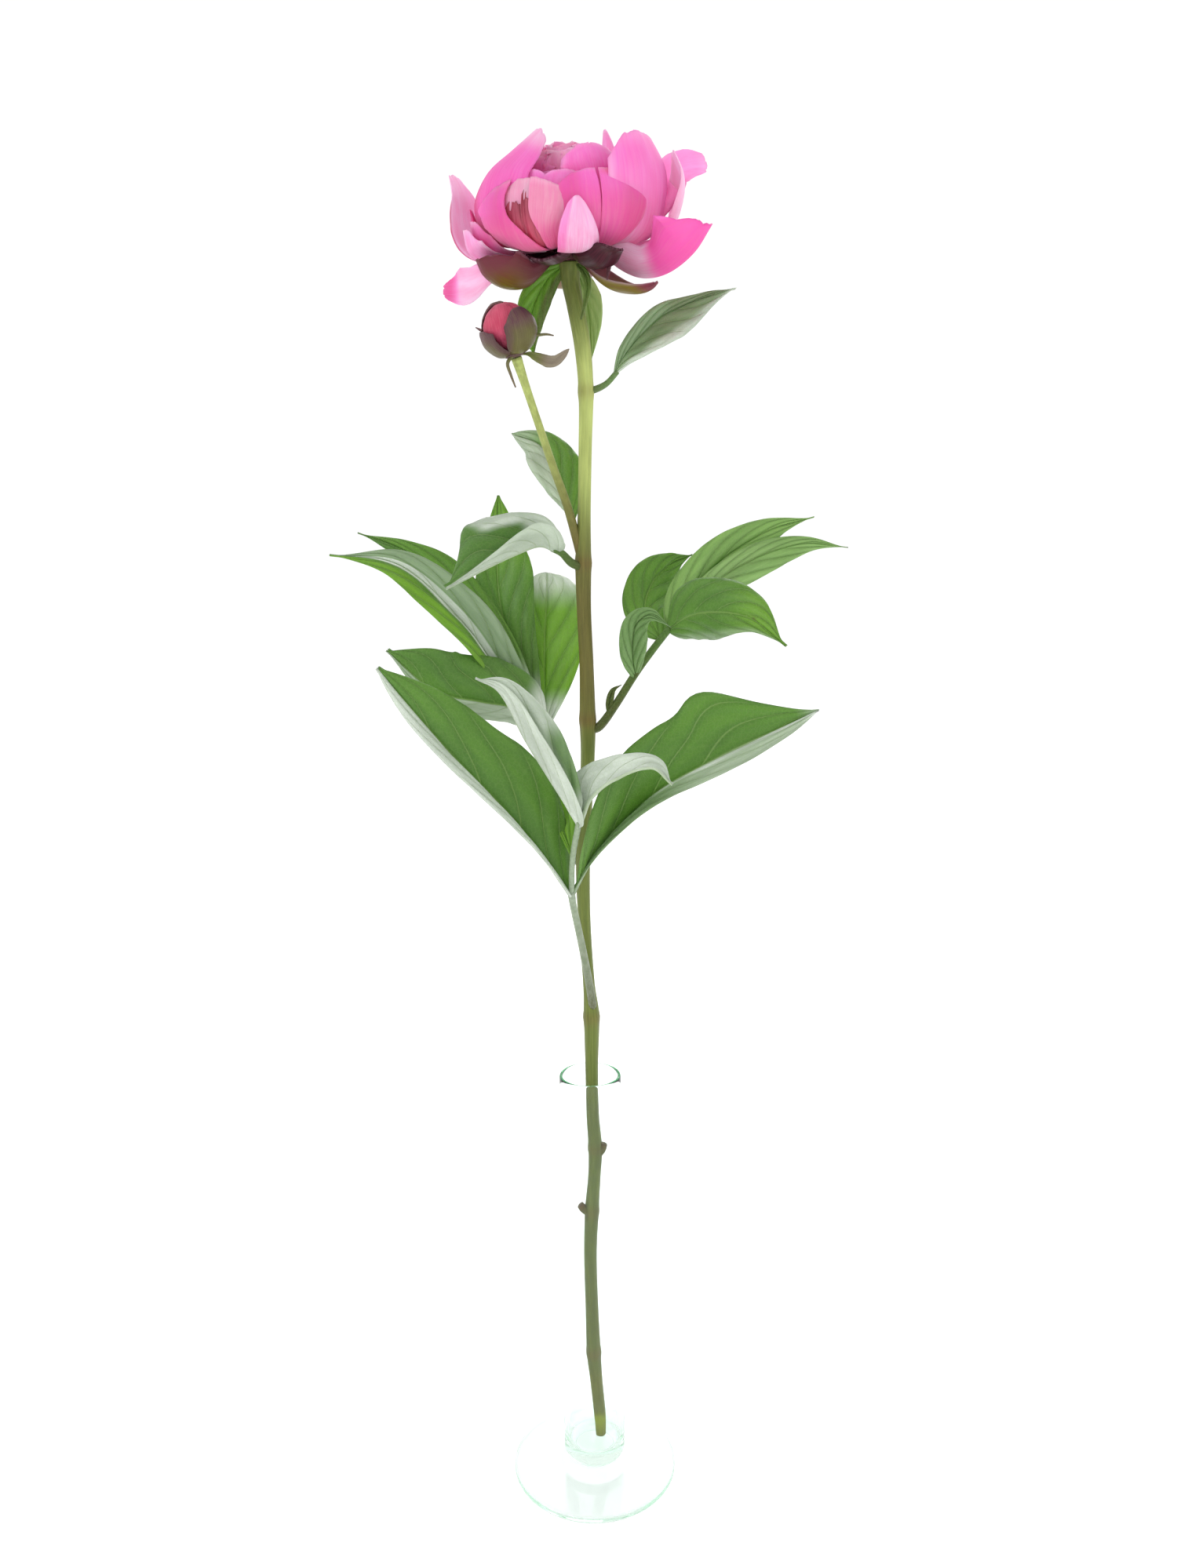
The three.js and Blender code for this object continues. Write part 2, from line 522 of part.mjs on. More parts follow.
// The large petals, from the ones that hang or spread outside to those that close over the heart
function bloomPetals(extra = 0) {
  const bowl = [10, 16, 26, 36, 40, 38, 34];
  const outer = [
    // front left, torn at the top, and front right, with a slit
    {
      angle: -118, profile: [[7, 7], [18, 3.2], [29, 2.6], [36.6, 7], [38.8, 14], [37.8, 21], [35, 27]],
      widths: [[4, 8, 12, 15.5, 18, 19.5, 17], [4, 10, 15, 20, 23, 25, 22]], curl: [bowl, bowl],
      crown: [0.12, 0.17], notches: [{ at: 0, depth: 0.2, width: 0.3 }],
    },
    {
      angle: -70, profile: [[7, 7], [18, 3.4], [29, 2.6], [36, 8], [38.4, 16], [37.4, 23], [34, 29]],
      widths: [[4, 8, 13, 20, 23.5, 24.5, 22], [4, 8, 13, 17, 18.5, 18.5, 16.5]], curl: [bowl, bowl],
      crown: [0.31, 0.12], notches: [{ at: 0, depth: 0.2, width: 0.07 }],
    },
    // the small pale petal between them
    {
      angle: -84, profile: [[8, 5.6], [22, 1.4], [34, 1.2], [39.8, 5], [41, 11], [40.4, 19]],
      widths: [[5, 7, 7.5, 7.6, 5.8, 1.4], [5, 7, 7.8, 8, 6.6, 2.6]], curl: [10, 10], crown: [0.06, 0.06],
    },
    // the two tall ones behind, on the right and on the left
    {
      angle: -30, profile: [[7, 9], [18, 5], [28, 4.4], [35, 9], [38, 18], [38, 30], [33, 43]],
      widths: [[4, 9, 14, 20, 24, 26, 24], [4, 9, 14, 19, 22, 22, 17]],
      curl: [[6, 12, 20, 26, 26, 26, 26], [12, 20, 34, 46, 50, 46, 40]], crown: [0.18, 0.1],
    },
    {
      angle: -152,
      profile: [
        [7, 9], [18, 6], [28, 5.6], [34.6, 13], [36.4, 23], [32.4, 32], [22.6, 39.4], [11.6, 47.2],
      ],
      widths: [[4, 9, 15, 20, 22, 22, 17, 8], [4, 9, 14, 18, 19, 12, 4.6, 5]],
      curl: [[12, 20, 34, 46, 52, 50, 42, 30], [10, 16, 22, 26, 30, 34, 36, 30]], crown: [0.05, 0.2],
    },
    // upright on the far right, and the one with its tip rolled outwards
    {
      angle: 2, profile: [[7, 7], [20, 4], [33, 3.6], [42, 10], [46.4, 20], [46.8, 29], [43, 38.5]],
      widths: [[4, 9, 13, 15, 16, 15, 9], [4, 9, 13, 15, 15, 13, 8]], curl: [26, 26],
    },
    {
      angle: 20, profile: [[7, 8], [22, 6], [36, 12], [42, 22], [46, 31.4], [53, 35.4], [62, 36]],
      widths: [[3, 8, 11, 11, 8, 7.4, 8.2]], curl: [16, 16],
      tilt: [[0, 0, 0, 20, 50, 64, 66], [0, 0, 0, -20, -50, -64, -66]], crown: [0.26, 0.26],
    },
    // the boat on the lower right, whose near side is low at first and then rises high
    {
      angle: -27, profile: [[7, 6.4], [14, 2.4], [22, -4.4], [32, -8.6], [43, -7.6], [53.6, -1.4], [61.4, 8]],
      widths: [[4, 8, 12, 17, 20, 19, 13], [4, 9, 12, 13.6, 17, 22, 15]],
      curl: [[20, 40, 50, 56, 56, 56, 50], [40, 60, 70, 74, 88, 84, 60]],
      tilt: [[0, 0, 0, 0, 8, 10, 10], [0, 18, 34, 34, 26, 20, 10]], crown: [0.12, 0.1],
    },
    // spread on the left, with a shorter one before it, and hanging on the lower left
    {
      angle: 157, profile: [[7, 6], [21, 1], [34, 0.4], [43, 7], [46.4, 18], [47.4, 28], [51, 36.4]],
      widths: [[4, 9, 13, 14, 12.6, 9, 6.4], [4, 9, 12, 13, 12, 9, 6.4]],
      curl: [[10, 14, 10, 2, -10, -14, -10], [10, 16, 26, 40, 44, 40, 20]], crown: [0.26, 0.26],
    },
    {
      angle: -172, profile: [[7, 6], [21, 0.6], [33, 0.4], [40.6, 4.6], [42.4, 12.6]],
      widths: [[4, 10, 14, 16, 15], [4, 9, 12, 13, 11]],
      curl: [[10, 16, 30, 40, 44], [10, 16, 30, 40, 44]], crown: [0.3, 0.1],
    },
    {
      angle: -178, profile: [[7, 5], [21, 0.4], [33, -4.6], [43, -9], [52.4, -9.4]],
      widths: [[3, 7, 9, 11, 8.4], [3, 7, 10, 11, 8]], curl: [24, 24],
      tilt: [[0, -14, -34, -44, -40], [0, 14, 34, 44, 40]], crown: [0.26, 0.26],
    },
    // a narrow one whose tip shows over the back
    {
      angle: 52, profile: [[6, 10], [18, 12], [27, 18], [31, 32], [30, 43], [27, 50.4]],
      widths: [[3, 6, 9, 8, 4, 1.8]], curl: [40, 40], columns: 2,
    },
  ];
  const back = [48, 84, 122].map((angle, i) => ({
    angle, profile: [[7, 6], [20, 4], [34, 9], [40, 22], [39, 34], [34, 40 + 1.5 * i]],
    widths: [[4, 10, 17, 22, 22, 18]], curl: [32, 32], rows: 3,
  }));
  // angle, greatest distance, height, half-width and how far the top leans in
  const inner = [
    [-61, 27, 39.5, 15, 6], [-98, 31, 30, 13, 3], [-126, 31.4, 31, 15, 3], [-160, 28, 38, 15, 7],
    [-14, 28, 37, 14, 6], [92, 26, 41, 15, 8],
  ].map(([angle, out, top, half, lean]) => ({
    angle, curl: [46, 46], crown: [0.1, 0.1], rows: 4,
    profile: [
      [6, 10], [0.6 * out, 12], [0.93 * out, 17], [out, 0.72 * top], [out - 0.35 * lean, 0.88 * top],
      [out - lean, top],
    ],
    widths: [[3, 0.6 * half, 0.9 * half, half, 0.98 * half, 0.8 * half]],
  }));
  const ruffle = (i) => ({ height: 0.8, count: 1.7, phase: (i * 0.37) % 1 });
  return fuse([
    turned(bloomFrame, [
      [0, 5.3 - extra], [12 + extra, 5.3 - extra], [18 + extra, 7.5], [17 + extra, 12],
      [11, 15.5 + extra], [0, 16.6 + extra],
    ]),
    ...[...outer, ...back, ...inner].map((spec, i) => petal(bloomFrame, { wave: ruffle(i), extra, ...spec })),
  ]);
}

// The heart: narrow ruffled petals crowded on a small dome, placed by the golden angle
function bloomHeart() {
  const count = 10;
  const goldenAngle = 137.5;
  const petals = [];
  for (let i = 0; i < count; i += 1) {
    const out = Math.sqrt((i + 0.5) / count);
    const foot = 2 + 9.4 * out;
    const top = 43 - 5 * out * out;
    petals.push(petal(bloomFrame, {
      angle: i * goldenAngle,
      profile: [
        [foot, 19.6], [foot + 3.4 * out, 26], [foot + 5 * out, top - 8], [foot + 4 * out, top - 3],
        [foot - 1.4 * out, top],
      ],
      widths: [[1.8, 4, 6, 7, 6]], curl: [44, 44], crown: [0.1, 0.1], rows: 3, columns: 2,
      wave: { height: 1.2, count: 1, phase: (i * 0.29) % 1 },
    }));
  }
  const core = turned(
    bloomFrame, [[0, 16.9], [5, 17.2], [9, 21], [11, 26], [9, 30], [4, 33], [0, 34]], 10,
  );
  return fuse([core, ...petals]);
}

// The bud: a closed ball of wrapped petals
function budPetals() {
  const ball = [];
  const steps = 6;
  for (let i = 0; i <= steps; i += 1) {
    const polar = (Math.PI * i) / steps;
    ball.push([BUD_RADIUS * 0.82 * Math.sin(polar), BUD_RADIUS * (1.06 - 0.94 * Math.cos(polar))]);
  }
  ball[0][0] = 0;
  ball[steps][0] = 0;
  const wraps = [-100, 20, 140].map((angle, i) => {
    const radius = BUD_RADIUS * (0.91 - 0.03 * i);
    return petal(budFrame, {
      angle, widths: [[7, 10, 10.5, 9.4, 6.4]], curl: [58, 58], crown: [0.35, 0.35], rows: 3, thickness: 0.8,
      profile: [
        [0.6 * radius, 5], [radius, 10], [0.97 * radius, 14], [0.66 * radius, 18.6], [0.2 * radius, 20.6],
      ],
    });
  });
  return fuse([turned(budFrame, ball, 10), ...wraps]);
}

// The bud's sepals, shells of different height on a small cup, a leaf-like bract below them on the
// right, and the thin awls round them
function budCalyx() {
  const sepal = ({ half, ...spec }) => petal(budFrame, {
    widths: [[0.7 * half, 0.92 * half, half, 0.94 * half, 0.75 * half]],
    thickness: 0.8, rows: 3, crown: [0.25, 0.25], ...spec,
  });
  const awl = (points) => stalk(points, { sides: 6, steps: 1 });
  const room = BUD_RADIUS + 1.3;
  const wrap = (height) => [
    [3, 0.8], [0.62 * room, 2], [0.94 * room, 6.4], [room, 11], [0.97 * room, height],
  ];
  return fuse([
    turned(budFrame, [[0, 0], [3, 0], [5.6, 1.2], [4.6, 2], [0, 0.9]], 14),
    sepal({ angle: -48, profile: [...wrap(14), [0.8 * room, 17.6]], half: 9, curl: [46, 46] }),
    sepal({ angle: -160, profile: wrap(13), half: 8.4, curl: [42, 42] }),
    sepal({
      angle: 110, profile: [...wrap(14), [0.8 * room, 18.6], [0.5 * room, 21.6]], half: 9.6,
      curl: [48, 48],
    }),
    sepal({ angle: 30, profile: wrap(13), half: 7, curl: [36, 36] }),
    leaflet({
      rib: [
        [-24, -15, 512.2], [-20.4, -16.6, 512.2], [-15.8, -17, 510.4], [-10.6, -17.4, 509.4],
        [-4.6, -18, 513.6],
      ],
      half: [1.9, 3], tilt: [10, 20], shape: { peak: 1.6, base: 0.8, tip: 0.7 }, columns: 2,
    }),
    awl([
      [-27.4, -16.8, 511.4, 0.8], [-29.2, -19.2, 508, 0.7], [-28, -19.6, 503.6, 0.6],
      [-26.2, -19.6, 498.8, 0.5],
    ]),
    awl([[-18, -13, 519.8, 0.6], [-14, -12, 520.4, 0.5], [-10.8, -12, 519.9, 0.4]]),
    awl([[-39.3, -14.8, 521.4, 0.7], [-42, -14.2, 522.9, 0.35]]),
  ]);
}

const GLASS = { color: 0xdff2e8, roughness: 0.05 };
const STEM_GREEN = { color: 0x7c8f4a, roughness: 0.5 };
const LEAF_GREEN = { color: 0x4f8a3c, roughness: 0.45 };
const BRACT_GREEN = { color: 0x5f9e3a, roughness: 0.5 };
const PETAL_PINK = { color: 0xe85fb0, roughness: 0.6 };
const HEART_PINK = { color: 0xf0a0b8, roughness: 0.6 };
const SEPAL_MAROON = { color: 0x5b4038, roughness: 0.5 };
const BUD_CRIMSON = { color: 0xb83a5c, roughness: 0.5 };

const stemRoom = stem(GAP);
const calyxRoom = whole(bloomCalyx(GAP));
const petalRoom = whole(bloomPetals(GAP));

const holder = new THREE.Group();
holder.add(named('vase', vase(), GLASS));

const cutStem = new THREE.Group();
cutStem.add(named('stem', whole(stem()), STEM_GREEN));
const leaves = {
  leaf_front: leafFront,
  leaf_back_left: leafBackLeft,
  leaf_right: leafRight,
  leaf_left: leafLeft,
  leaf_upper_left: leafUpperLeft,
  leaf_upper_right: leafUpperRight,
};
for (const [name, pieces] of Object.entries(leaves)) {
  cutStem.add(named(name, clearOf(fuse(pieces), stemRoom), LEAF_GREEN));
}
const bracts = { bract_left: bractLeft, bract_strap: bractStrap, bract_back: bractBack };
for (const [name, piece] of Object.entries(bracts)) {
  cutStem.add(named(name, clearOf(piece, stemRoom, calyxRoom), BRACT_GREEN));
}

const bloom = new THREE.Group();
bloom.add(named('bloom_calyx', whole(bloomCalyx()), SEPAL_MAROON));
bloom.add(named('bloom_petals', clearOf(bloomPetals(), calyxRoom), PETAL_PINK));
bloom.add(named('bloom_heart', clearOf(bloomHeart(), petalRoom), HEART_PINK));

const bud = new THREE.Group();
bud.add(named('bud_petals', whole(budPetals()), BUD_CRIMSON));
bud.add(named('bud_calyx', clearOf(budCalyx(), stemRoom), SEPAL_MAROON));

const peony = new THREE.Group();
peony.add(holder, cutStem, bloom, bud);
export default peony;
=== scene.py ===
# %% [markdown]
# # A peony in a bud vase
# A cut peony stands in a slim glass vase: one open bloom, a side bud, and divided leaves on a
# woody stem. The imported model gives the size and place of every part. This lesson dresses each
# part with a finer surface of the same form, and gives each tissue its own procedural material.

import bpy
import numpy as np
from mathutils import Matrix


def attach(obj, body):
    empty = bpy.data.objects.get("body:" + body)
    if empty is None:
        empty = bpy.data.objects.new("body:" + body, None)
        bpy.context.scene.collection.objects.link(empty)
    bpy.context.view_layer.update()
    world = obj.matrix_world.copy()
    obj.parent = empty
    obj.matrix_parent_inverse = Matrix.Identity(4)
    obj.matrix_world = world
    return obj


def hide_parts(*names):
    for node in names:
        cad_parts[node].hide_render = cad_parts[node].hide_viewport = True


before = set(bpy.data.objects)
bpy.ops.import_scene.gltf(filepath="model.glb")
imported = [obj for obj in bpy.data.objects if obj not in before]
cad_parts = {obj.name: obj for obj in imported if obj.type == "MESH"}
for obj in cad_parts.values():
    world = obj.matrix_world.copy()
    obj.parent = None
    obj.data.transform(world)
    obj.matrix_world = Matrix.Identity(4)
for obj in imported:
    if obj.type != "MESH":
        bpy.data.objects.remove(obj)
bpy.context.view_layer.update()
MM = 0.001
print("frame holds", sorted(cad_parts))

# %% [markdown]
# ## The camera
# The photograph looks slightly down from about half a metre away, so the vase's foot is seen
# from above and the bloom from below. A lens could be guessed, but a camera that is worked out
# from the ellipses of the rim and the foot puts every leaf where the photograph has it.

# %% Camera
SENSOR = 36
FOCAL_PIXELS = 1500
PICTURE_HEIGHT = 1999
CAMERA_PLACE = (0.94 * MM, -509.2 * MM, 419.9 * MM)
PITCH = 9.51
ROLL = -0.71

camera_data = bpy.data.cameras.new("camera")
camera_data.sensor_width = SENSOR
camera_data.lens = SENSOR * FOCAL_PIXELS / PICTURE_HEIGHT
camera = bpy.data.objects.new("camera", camera_data)
bpy.context.scene.collection.objects.link(camera)
camera.matrix_world = (
    Matrix.Translation(CAMERA_PLACE)
    @ Matrix.Rotation(np.radians(90 - PITCH), 4, "X")
    @ Matrix.Rotation(np.radians(ROLL), 4, "Z")
)
bpy.context.scene.camera = camera
print("camera lens", round(camera_data.lens, 2), "mm")

# %% [markdown]
# ## Shader nodes in short
# A material is a small graph of nodes. A few helpers keep the graphs readable: the first adds a
# node and links what it is given, and the others do arithmetic, smooth steps and mixes with it.
# Colours are written as they look on a screen and turned into the linear values that the shaders
# work with.

# %% Node helpers
MIX_A, MIX_B, MIX_RESULT = 6, 7, 2


def put(tree, kind, inputs=None, **settings):
    """Adds a node. inputs maps a socket to a value, or to an output that is linked to it."""
    node = tree.nodes.new(kind)
    for key, value in settings.items():
        setattr(node, key, value)
    for socket, value in (inputs or {}).items():
        if isinstance(value, bpy.types.NodeSocket):
            tree.links.new(value, node.inputs[socket])
        else:
            node.inputs[socket].default_value = value
    return node


def sums(tree, operation, *values, clamp=False):
    """One Math node, which returns its output."""
    node = put(tree, "ShaderNodeMath", dict(enumerate(values)), operation=operation)
    node.use_clamp = clamp
    return node.outputs[0]


def ramp(tree, value, low, high, bottom=0.0, top=1.0):
    """A smooth step: bottom below low, top above high."""
    inputs = {"Value": value, "From Min": low, "From Max": high, "To Min": bottom, "To Max": top}
    return put(tree, "ShaderNodeMapRange", inputs, interpolation_type="SMOOTHSTEP").outputs[0]


def mixed(tree, factor, first, second):
    """A colour between two others."""
    node = put(tree, "ShaderNodeMix", {0: factor, MIX_A: first, MIX_B: second}, data_type="RGBA")
    return node.outputs[MIX_RESULT]


def screen(red, green, blue):
    """A screen colour from 0 to 255 as the linear colour that renders to it."""
    share = np.array([red, green, blue]) / 255
    linear = np.where(share <= 0.04045, share / 12.92, ((share + 0.055) / 1.055) ** 2.4)
    return (*(float(value) for value in linear), 1.0)


def empty_material(name):
    """A material whose graph holds only its output node."""
    material = bpy.data.materials.new(name)
    material.use_nodes = True
    tree = material.node_tree
    tree.nodes.clear()
    return material, tree, put(tree, "ShaderNodeOutputMaterial")


print("a screen grey of 128 is the linear value", round(screen(128, 128, 128)[0], 3))


# %% [markdown]
# ## The white room
# The flower was lit from all round in front of a bright white ground, more from behind than from
# in front, so that thin leaves glow and hardly a shadow falls. A world shader can be such a room.
# What the camera sees of it is pure white. What lights the plant, and what shows in the glass, is
# a little dimmer in front. A curtain could make the ground, but a pale floor and this world need
# no seam.

# %% World, floor and lights
ROOM_SEEN = 1.06
ROOM_BACK = 1.05
ROOM_FRONT = 0.78
# how far back a direction points, from -1 to 1, where the room is dimmest and where brightest
DIMMEST_AT = -0.7
BRIGHTEST_AT = 0.6

scene = bpy.context.scene
scene.view_settings.view_transform = "Standard"
world = bpy.data.worlds.new("white room")
world.use_nodes = True
scene.world = world
room = world.node_tree
room.nodes.clear()
direction = put(room, "ShaderNodeTexCoord").outputs["Generated"]
toward_back = put(room, "ShaderNodeSeparateXYZ", {0: direction}).outputs["Y"]
strength = ramp(room, toward_back, DIMMEST_AT, BRIGHTEST_AT, ROOM_FRONT, ROOM_BACK)
lighting = put(room, "ShaderNodeBackground", {"Strength": strength})
seen = put(room, "ShaderNodeBackground", {"Strength": ROOM_SEEN})
for background in (lighting, seen):
    background.inputs["Color"].default_value = (1, 1, 1, 1)
path = put(room, "ShaderNodeLightPath")
either = put(room, "ShaderNodeMixShader", {
    0: path.outputs["Is Camera Ray"], 1: lighting.outputs[0], 2: seen.outputs[0],
})
put(room, "ShaderNodeOutputWorld", {"Surface": either.outputs[0]})

FLOOR_HALF = 6.0
floor_mesh = bpy.data.meshes.new("floor")
floor_signs = [(-1, -1), (1, -1), (1, 1), (-1, 1)]
floor_corners = [(FLOOR_HALF * x, FLOOR_HALF * y, 0) for x, y in floor_signs]
floor_mesh.from_pydata(floor_corners, [], [(0, 1, 2, 3)])
floor = bpy.data.objects.new("floor", floor_mesh)
scene.collection.objects.link(floor)
floor_material, tree, output = empty_material("white floor")
floor_shader = put(tree, "ShaderNodeBsdfPrincipled", {
    "Base Color": (0.9, 0.9, 0.9, 1), "Roughness": 0.7,
    "Emission Color": (1, 1, 1, 1), "Emission Strength": 0.35,
})
tree.links.new(floor_shader.outputs[0], output.inputs["Surface"])
floor_mesh.materials.append(floor_material)


def soft_light(name, place, target, size, power):
    """A square area light that faces a target, in metres and watts."""
    data = bpy.data.lights.new(name, "AREA")
    data.size = size
    data.energy = power
    light = bpy.data.objects.new(name, data)
    scene.collection.objects.link(light)
    place, target = np.array(place), np.array(target)
    back = (place - target) / np.linalg.norm(place - target)
    right = np.cross((0, 0, 1), back)
    right /= np.linalg.norm(right)
    turn = Matrix([*zip(right, np.cross(back, right), back, place), (0, 0, 0, 1)])
    light.matrix_world = turn


soft_light("key", place=(-0.9, -0.9, 1.3), target=(0, 0, 0.4), size=0.7, power=7)
soft_light("fill", place=(1.1, -0.8, 0.6), target=(0, 0, 0.4), size=0.9, power=3)
soft_light("back", place=(0.3, 1.3, 1.4), target=(0, 0, 0.45), size=1.0, power=10)
print("room and floor ready")

# %% [markdown]
# ## Curves
# Ribs, stalks and petal midlines are drawn through a few points that were read from the
# photograph. Bezier handles would be one way, but a Catmull-Rom curve passes through its points
# by itself: between two points it leaves each along the chord of that point's neighbours.

# %% Curves through points


def spline(points, u):
    """Places and unit tangents at u, from 0 to 1, of the Catmull-Rom curve through points.

    With w the share of the way between two points p1 and p2 and slopes a and b, half the chords
    of their neighbours, the place is p1 + a w + (3 (p2 - p1) - 2 a - b) w^2
    + (2 (p1 - p2) + a + b) w^3.
    """
    points = np.asarray(points, float)
    first_end, last_end = 2 * points[0] - points[1], 2 * points[-1] - points[-2]
    control = np.vstack([first_end, points, last_end])
    place = np.clip(u, 0, 1) * (len(points) - 1)
    first = np.minimum(place.astype(int), len(points) - 2)
    w = (place - first)[..., None]
    p0, p1, p2, p3 = (control[first + i] for i in range(4))
    a, b = (p2 - p0) / 2, (p3 - p1) / 2
    c, d = 3 * (p2 - p1) - 2 * a - b, 2 * (p1 - p2) + a + b
    slope = a + 2 * c * w + 3 * d * w**2
    return p1 + a * w + c * w**2 + d * w**3, unit(slope)


def unit(vectors):
    return vectors / np.maximum(np.linalg.norm(vectors, axis=-1, keepdims=True), 1e-12)


def along(values, u):
    """A value that changes from base to tip: one number, or numbers spread evenly."""
    values = np.atleast_1d(np.asarray(values, float))
    if len(values) == 1:
        return np.full(np.shape(u), values[0])
    return spline(values[:, None], u)[0][..., 0]


def step(value, low, high):
    """0 below low, 1 above high, and a smooth S between."""
    share = np.clip((value - low) / (high - low), 0, 1)
    return share * share * (3 - 2 * share)


print("midpoint of a test curve", spline([[0, 0], [1, 1], [2, 0]], np.array(0.5))[0])

# %% [markdown]
# ## Sheets
# Leaflets, petals and sepals are all thin curved sheets, so one function makes them. A plane
# could be bent with modifiers, but a formula keeps each sheet exactly on the rib that the frame
# was built from. Across the rib each half starts at an angle, its tilt, and curls further
# towards its edge along a circle's arc. The edge ripples in and out, and a fine relief lies on top.

# %% The sheet formula
FRONT = (0, -1, 0)
BACK = (0, 1, 0)
SEED_STEP = 2.399
# how evenly the columns are spread over a whole sheet; the rest of 1 crowds them to the rib
EVEN_SHARE = 0.45
FRILL_WAVES = 7
RIDGE_SPREAD = 0.7
RIDGE_FADE = 0.75
THINNEST_EDGE = 0.4
sheet_count = 0


def ragged_line(x, seed):
    """A lively line between about -1 and 1: four sines, the finer the weaker, seeded phases."""
    return sum(np.sin(k * 3.1 * x + seed * (1.7 + k)) / k for k in (1, 2, 3, 5)) / 1.6


def sheet(rib, half, outline, thickness, rows, columns, tilt=(0, 0), curl=(0, 0), front=FRONT,
          across=None, crown=0, notches=(), wave=(0, 0, 0), span=(-1, 1), ragged=0, frill=0,
          relief=None, ridge=0, tone=None, lift=0):
    """A thin closed shell along a rib, in millimetres.

    Seen on the upper face, u runs from base to tip and v from the left edge, -1, to the right, 1.
    half, tilt and curl are pairs, left and right, each a number or numbers spread from base to
    tip, and half may be one number. With q = |v| and w = half-width * outline(u), a half with
    slope s at the rib and curl c lies w (sin(s + c q) - sin s) / c outwards and
    w (cos s - cos(s + c q)) / c above the rib, which is a circle's arc. The edge adds
    height * q^2 * sin(2 pi (count u + phase)). The faces lie half the thickness to each side
    along the normal, which leans by s + c q, and closer at the very edge. crown rounds the tip,
    and a notch [v, depth, width] cuts into it.
    """
    global sheet_count
    sheet_count += 1
    seed = SEED_STEP * sheet_count
    r, c = np.meshgrid(np.linspace(0, 1, rows + 1), np.linspace(-1, 1, columns + 1), indexing="ij")
    c = c * (EVEN_SHARE + (1 - EVEN_SHARE) * np.abs(c)) if span == (-1, 1) else c
    low, high = along(span[0], r), along(span[1], r)
    v = (low + high) / 2 + (high - low) / 2 * c
    q, which = np.abs(v), (v >= 0).astype(int)
    crowns = crown if isinstance(crown, tuple) else (crown, crown)
    top = 1 - np.where(which, crowns[1], crowns[0]) * q**3 + ragged * 0.5 * ragged_line(4 * v, seed)
    for at, depth, width in notches:
        top = top - depth * np.exp(-(((v - at) / width) ** 2))
    u = r * np.minimum(top, 1)
    place, tangent = spline(rib, u)
    if across is None:
        front = np.asarray(front, float)
        face = unit(front - (tangent @ front)[..., None] * tangent)
        side = np.cross(tangent, face)
    else:
        side = unit(across - (tangent @ across)[..., None] * tangent)
        face = np.cross(side, tangent)
    halves = half if isinstance(half, tuple) else (half, half)
    width = np.where(which, along(halves[1], u), along(halves[0], u)) * outline(u)
    width = width * (1 + ragged * ragged_line(7 * u, seed + 3 * which))
    slopes = np.radians([along(tilt[0], u), along(tilt[1], u)])
    bends = np.radians([along(curl[0], u), along(curl[1], u)])
    slope = np.where(which, slopes[1], slopes[0])
    bend = np.where(which, bends[1], bends[0])
    bend = np.where(np.abs(bend) < 1e-4, 1e-4, bend)
    edge = slope + bend * q
    outward = np.sign(v) * width * (np.sin(edge) - np.sin(slope)) / bend
    raised = width * (np.cos(slope) - np.cos(edge)) / bend
    height, count, phase = wave
    raised = raised + height * q**2 * np.sin(2 * np.pi * (count * u + phase + 0.4 * which))
    frilled = np.sin(2 * np.pi * FRILL_WAVES * u + seed + ragged_line(9 * u, seed))
    raised = raised + frill * q**4 * frilled
    lean = np.where(q < 1e-6, (slopes[1] - slopes[0]) / 2, np.sign(v) * edge)[..., None]
    normal = np.cos(lean) * face - np.sin(lean) * side
    bump = lift + (relief(u, v) if relief else 0 * u)
    rib_below = ridge * np.exp(-((v * width / RIDGE_SPREAD) ** 2)) * (1 - RIDGE_FADE * u)
    rim = thickness / 2 * np.clip(1.15 - q**8, THINNEST_EDGE, 1)
    middle = place + outward[..., None] * side + raised[..., None] * face
    upper = middle + (bump + rim)[..., None] * normal
    lower = middle + (bump - rim - rib_below)[..., None] * normal
    tones = np.zeros((3, *u.shape)) if tone is None else np.array([x + 0 * u for x in tone(u, v)])
    return grid_shell(upper, lower, u, v, tones, seed)


def grid_shell(upper, lower, u, v, tones, seed):
    """Joins an upper and a lower grid of points into one closed shell, faces outwards."""
    rows, columns = u.shape
    top = np.arange(rows * columns).reshape(rows, columns)
    under = top + rows * columns
    faces = [
        np.stack([top[:-1, :-1], top[:-1, 1:], top[1:, 1:], top[1:, :-1]], -1),
        np.stack([under[:-1, :-1], under[1:, :-1], under[1:, 1:], under[:-1, 1:]], -1),
        np.stack([top[0, :-1], under[0, :-1], under[0, 1:], top[0, 1:]], -1),
        np.stack([top[-1, 1:], under[-1, 1:], under[-1, :-1], top[-1, :-1]], -1),
        np.stack([top[1:, 0], under[1:, 0], under[:-1, 0], top[:-1, 0]], -1),
        np.stack([top[:-1, -1], under[:-1, -1], under[1:, -1], top[1:, -1]], -1),
    ]
    flat = {
        "points": np.concatenate([upper.reshape(-1, 3), lower.reshape(-1, 3)]),
        "faces": np.concatenate([quads.reshape(-1, 4) for quads in faces]),
        "sheet": np.tile(np.stack([v.ravel() / 2 + 0.5, u.ravel()], -1), (2, 1)),
        "tone": np.tile(tones.reshape(3, -1).T, (2, 1)),
    }
    count = len(flat["points"])
    flat["upper"] = (np.arange(count) < count // 2).astype(float)
    flat["seed"] = np.full(count, seed)
    return flat


print("a ragged edge at four places", ragged_line(np.linspace(0, 1, 4), SEED_STEP).round(2))


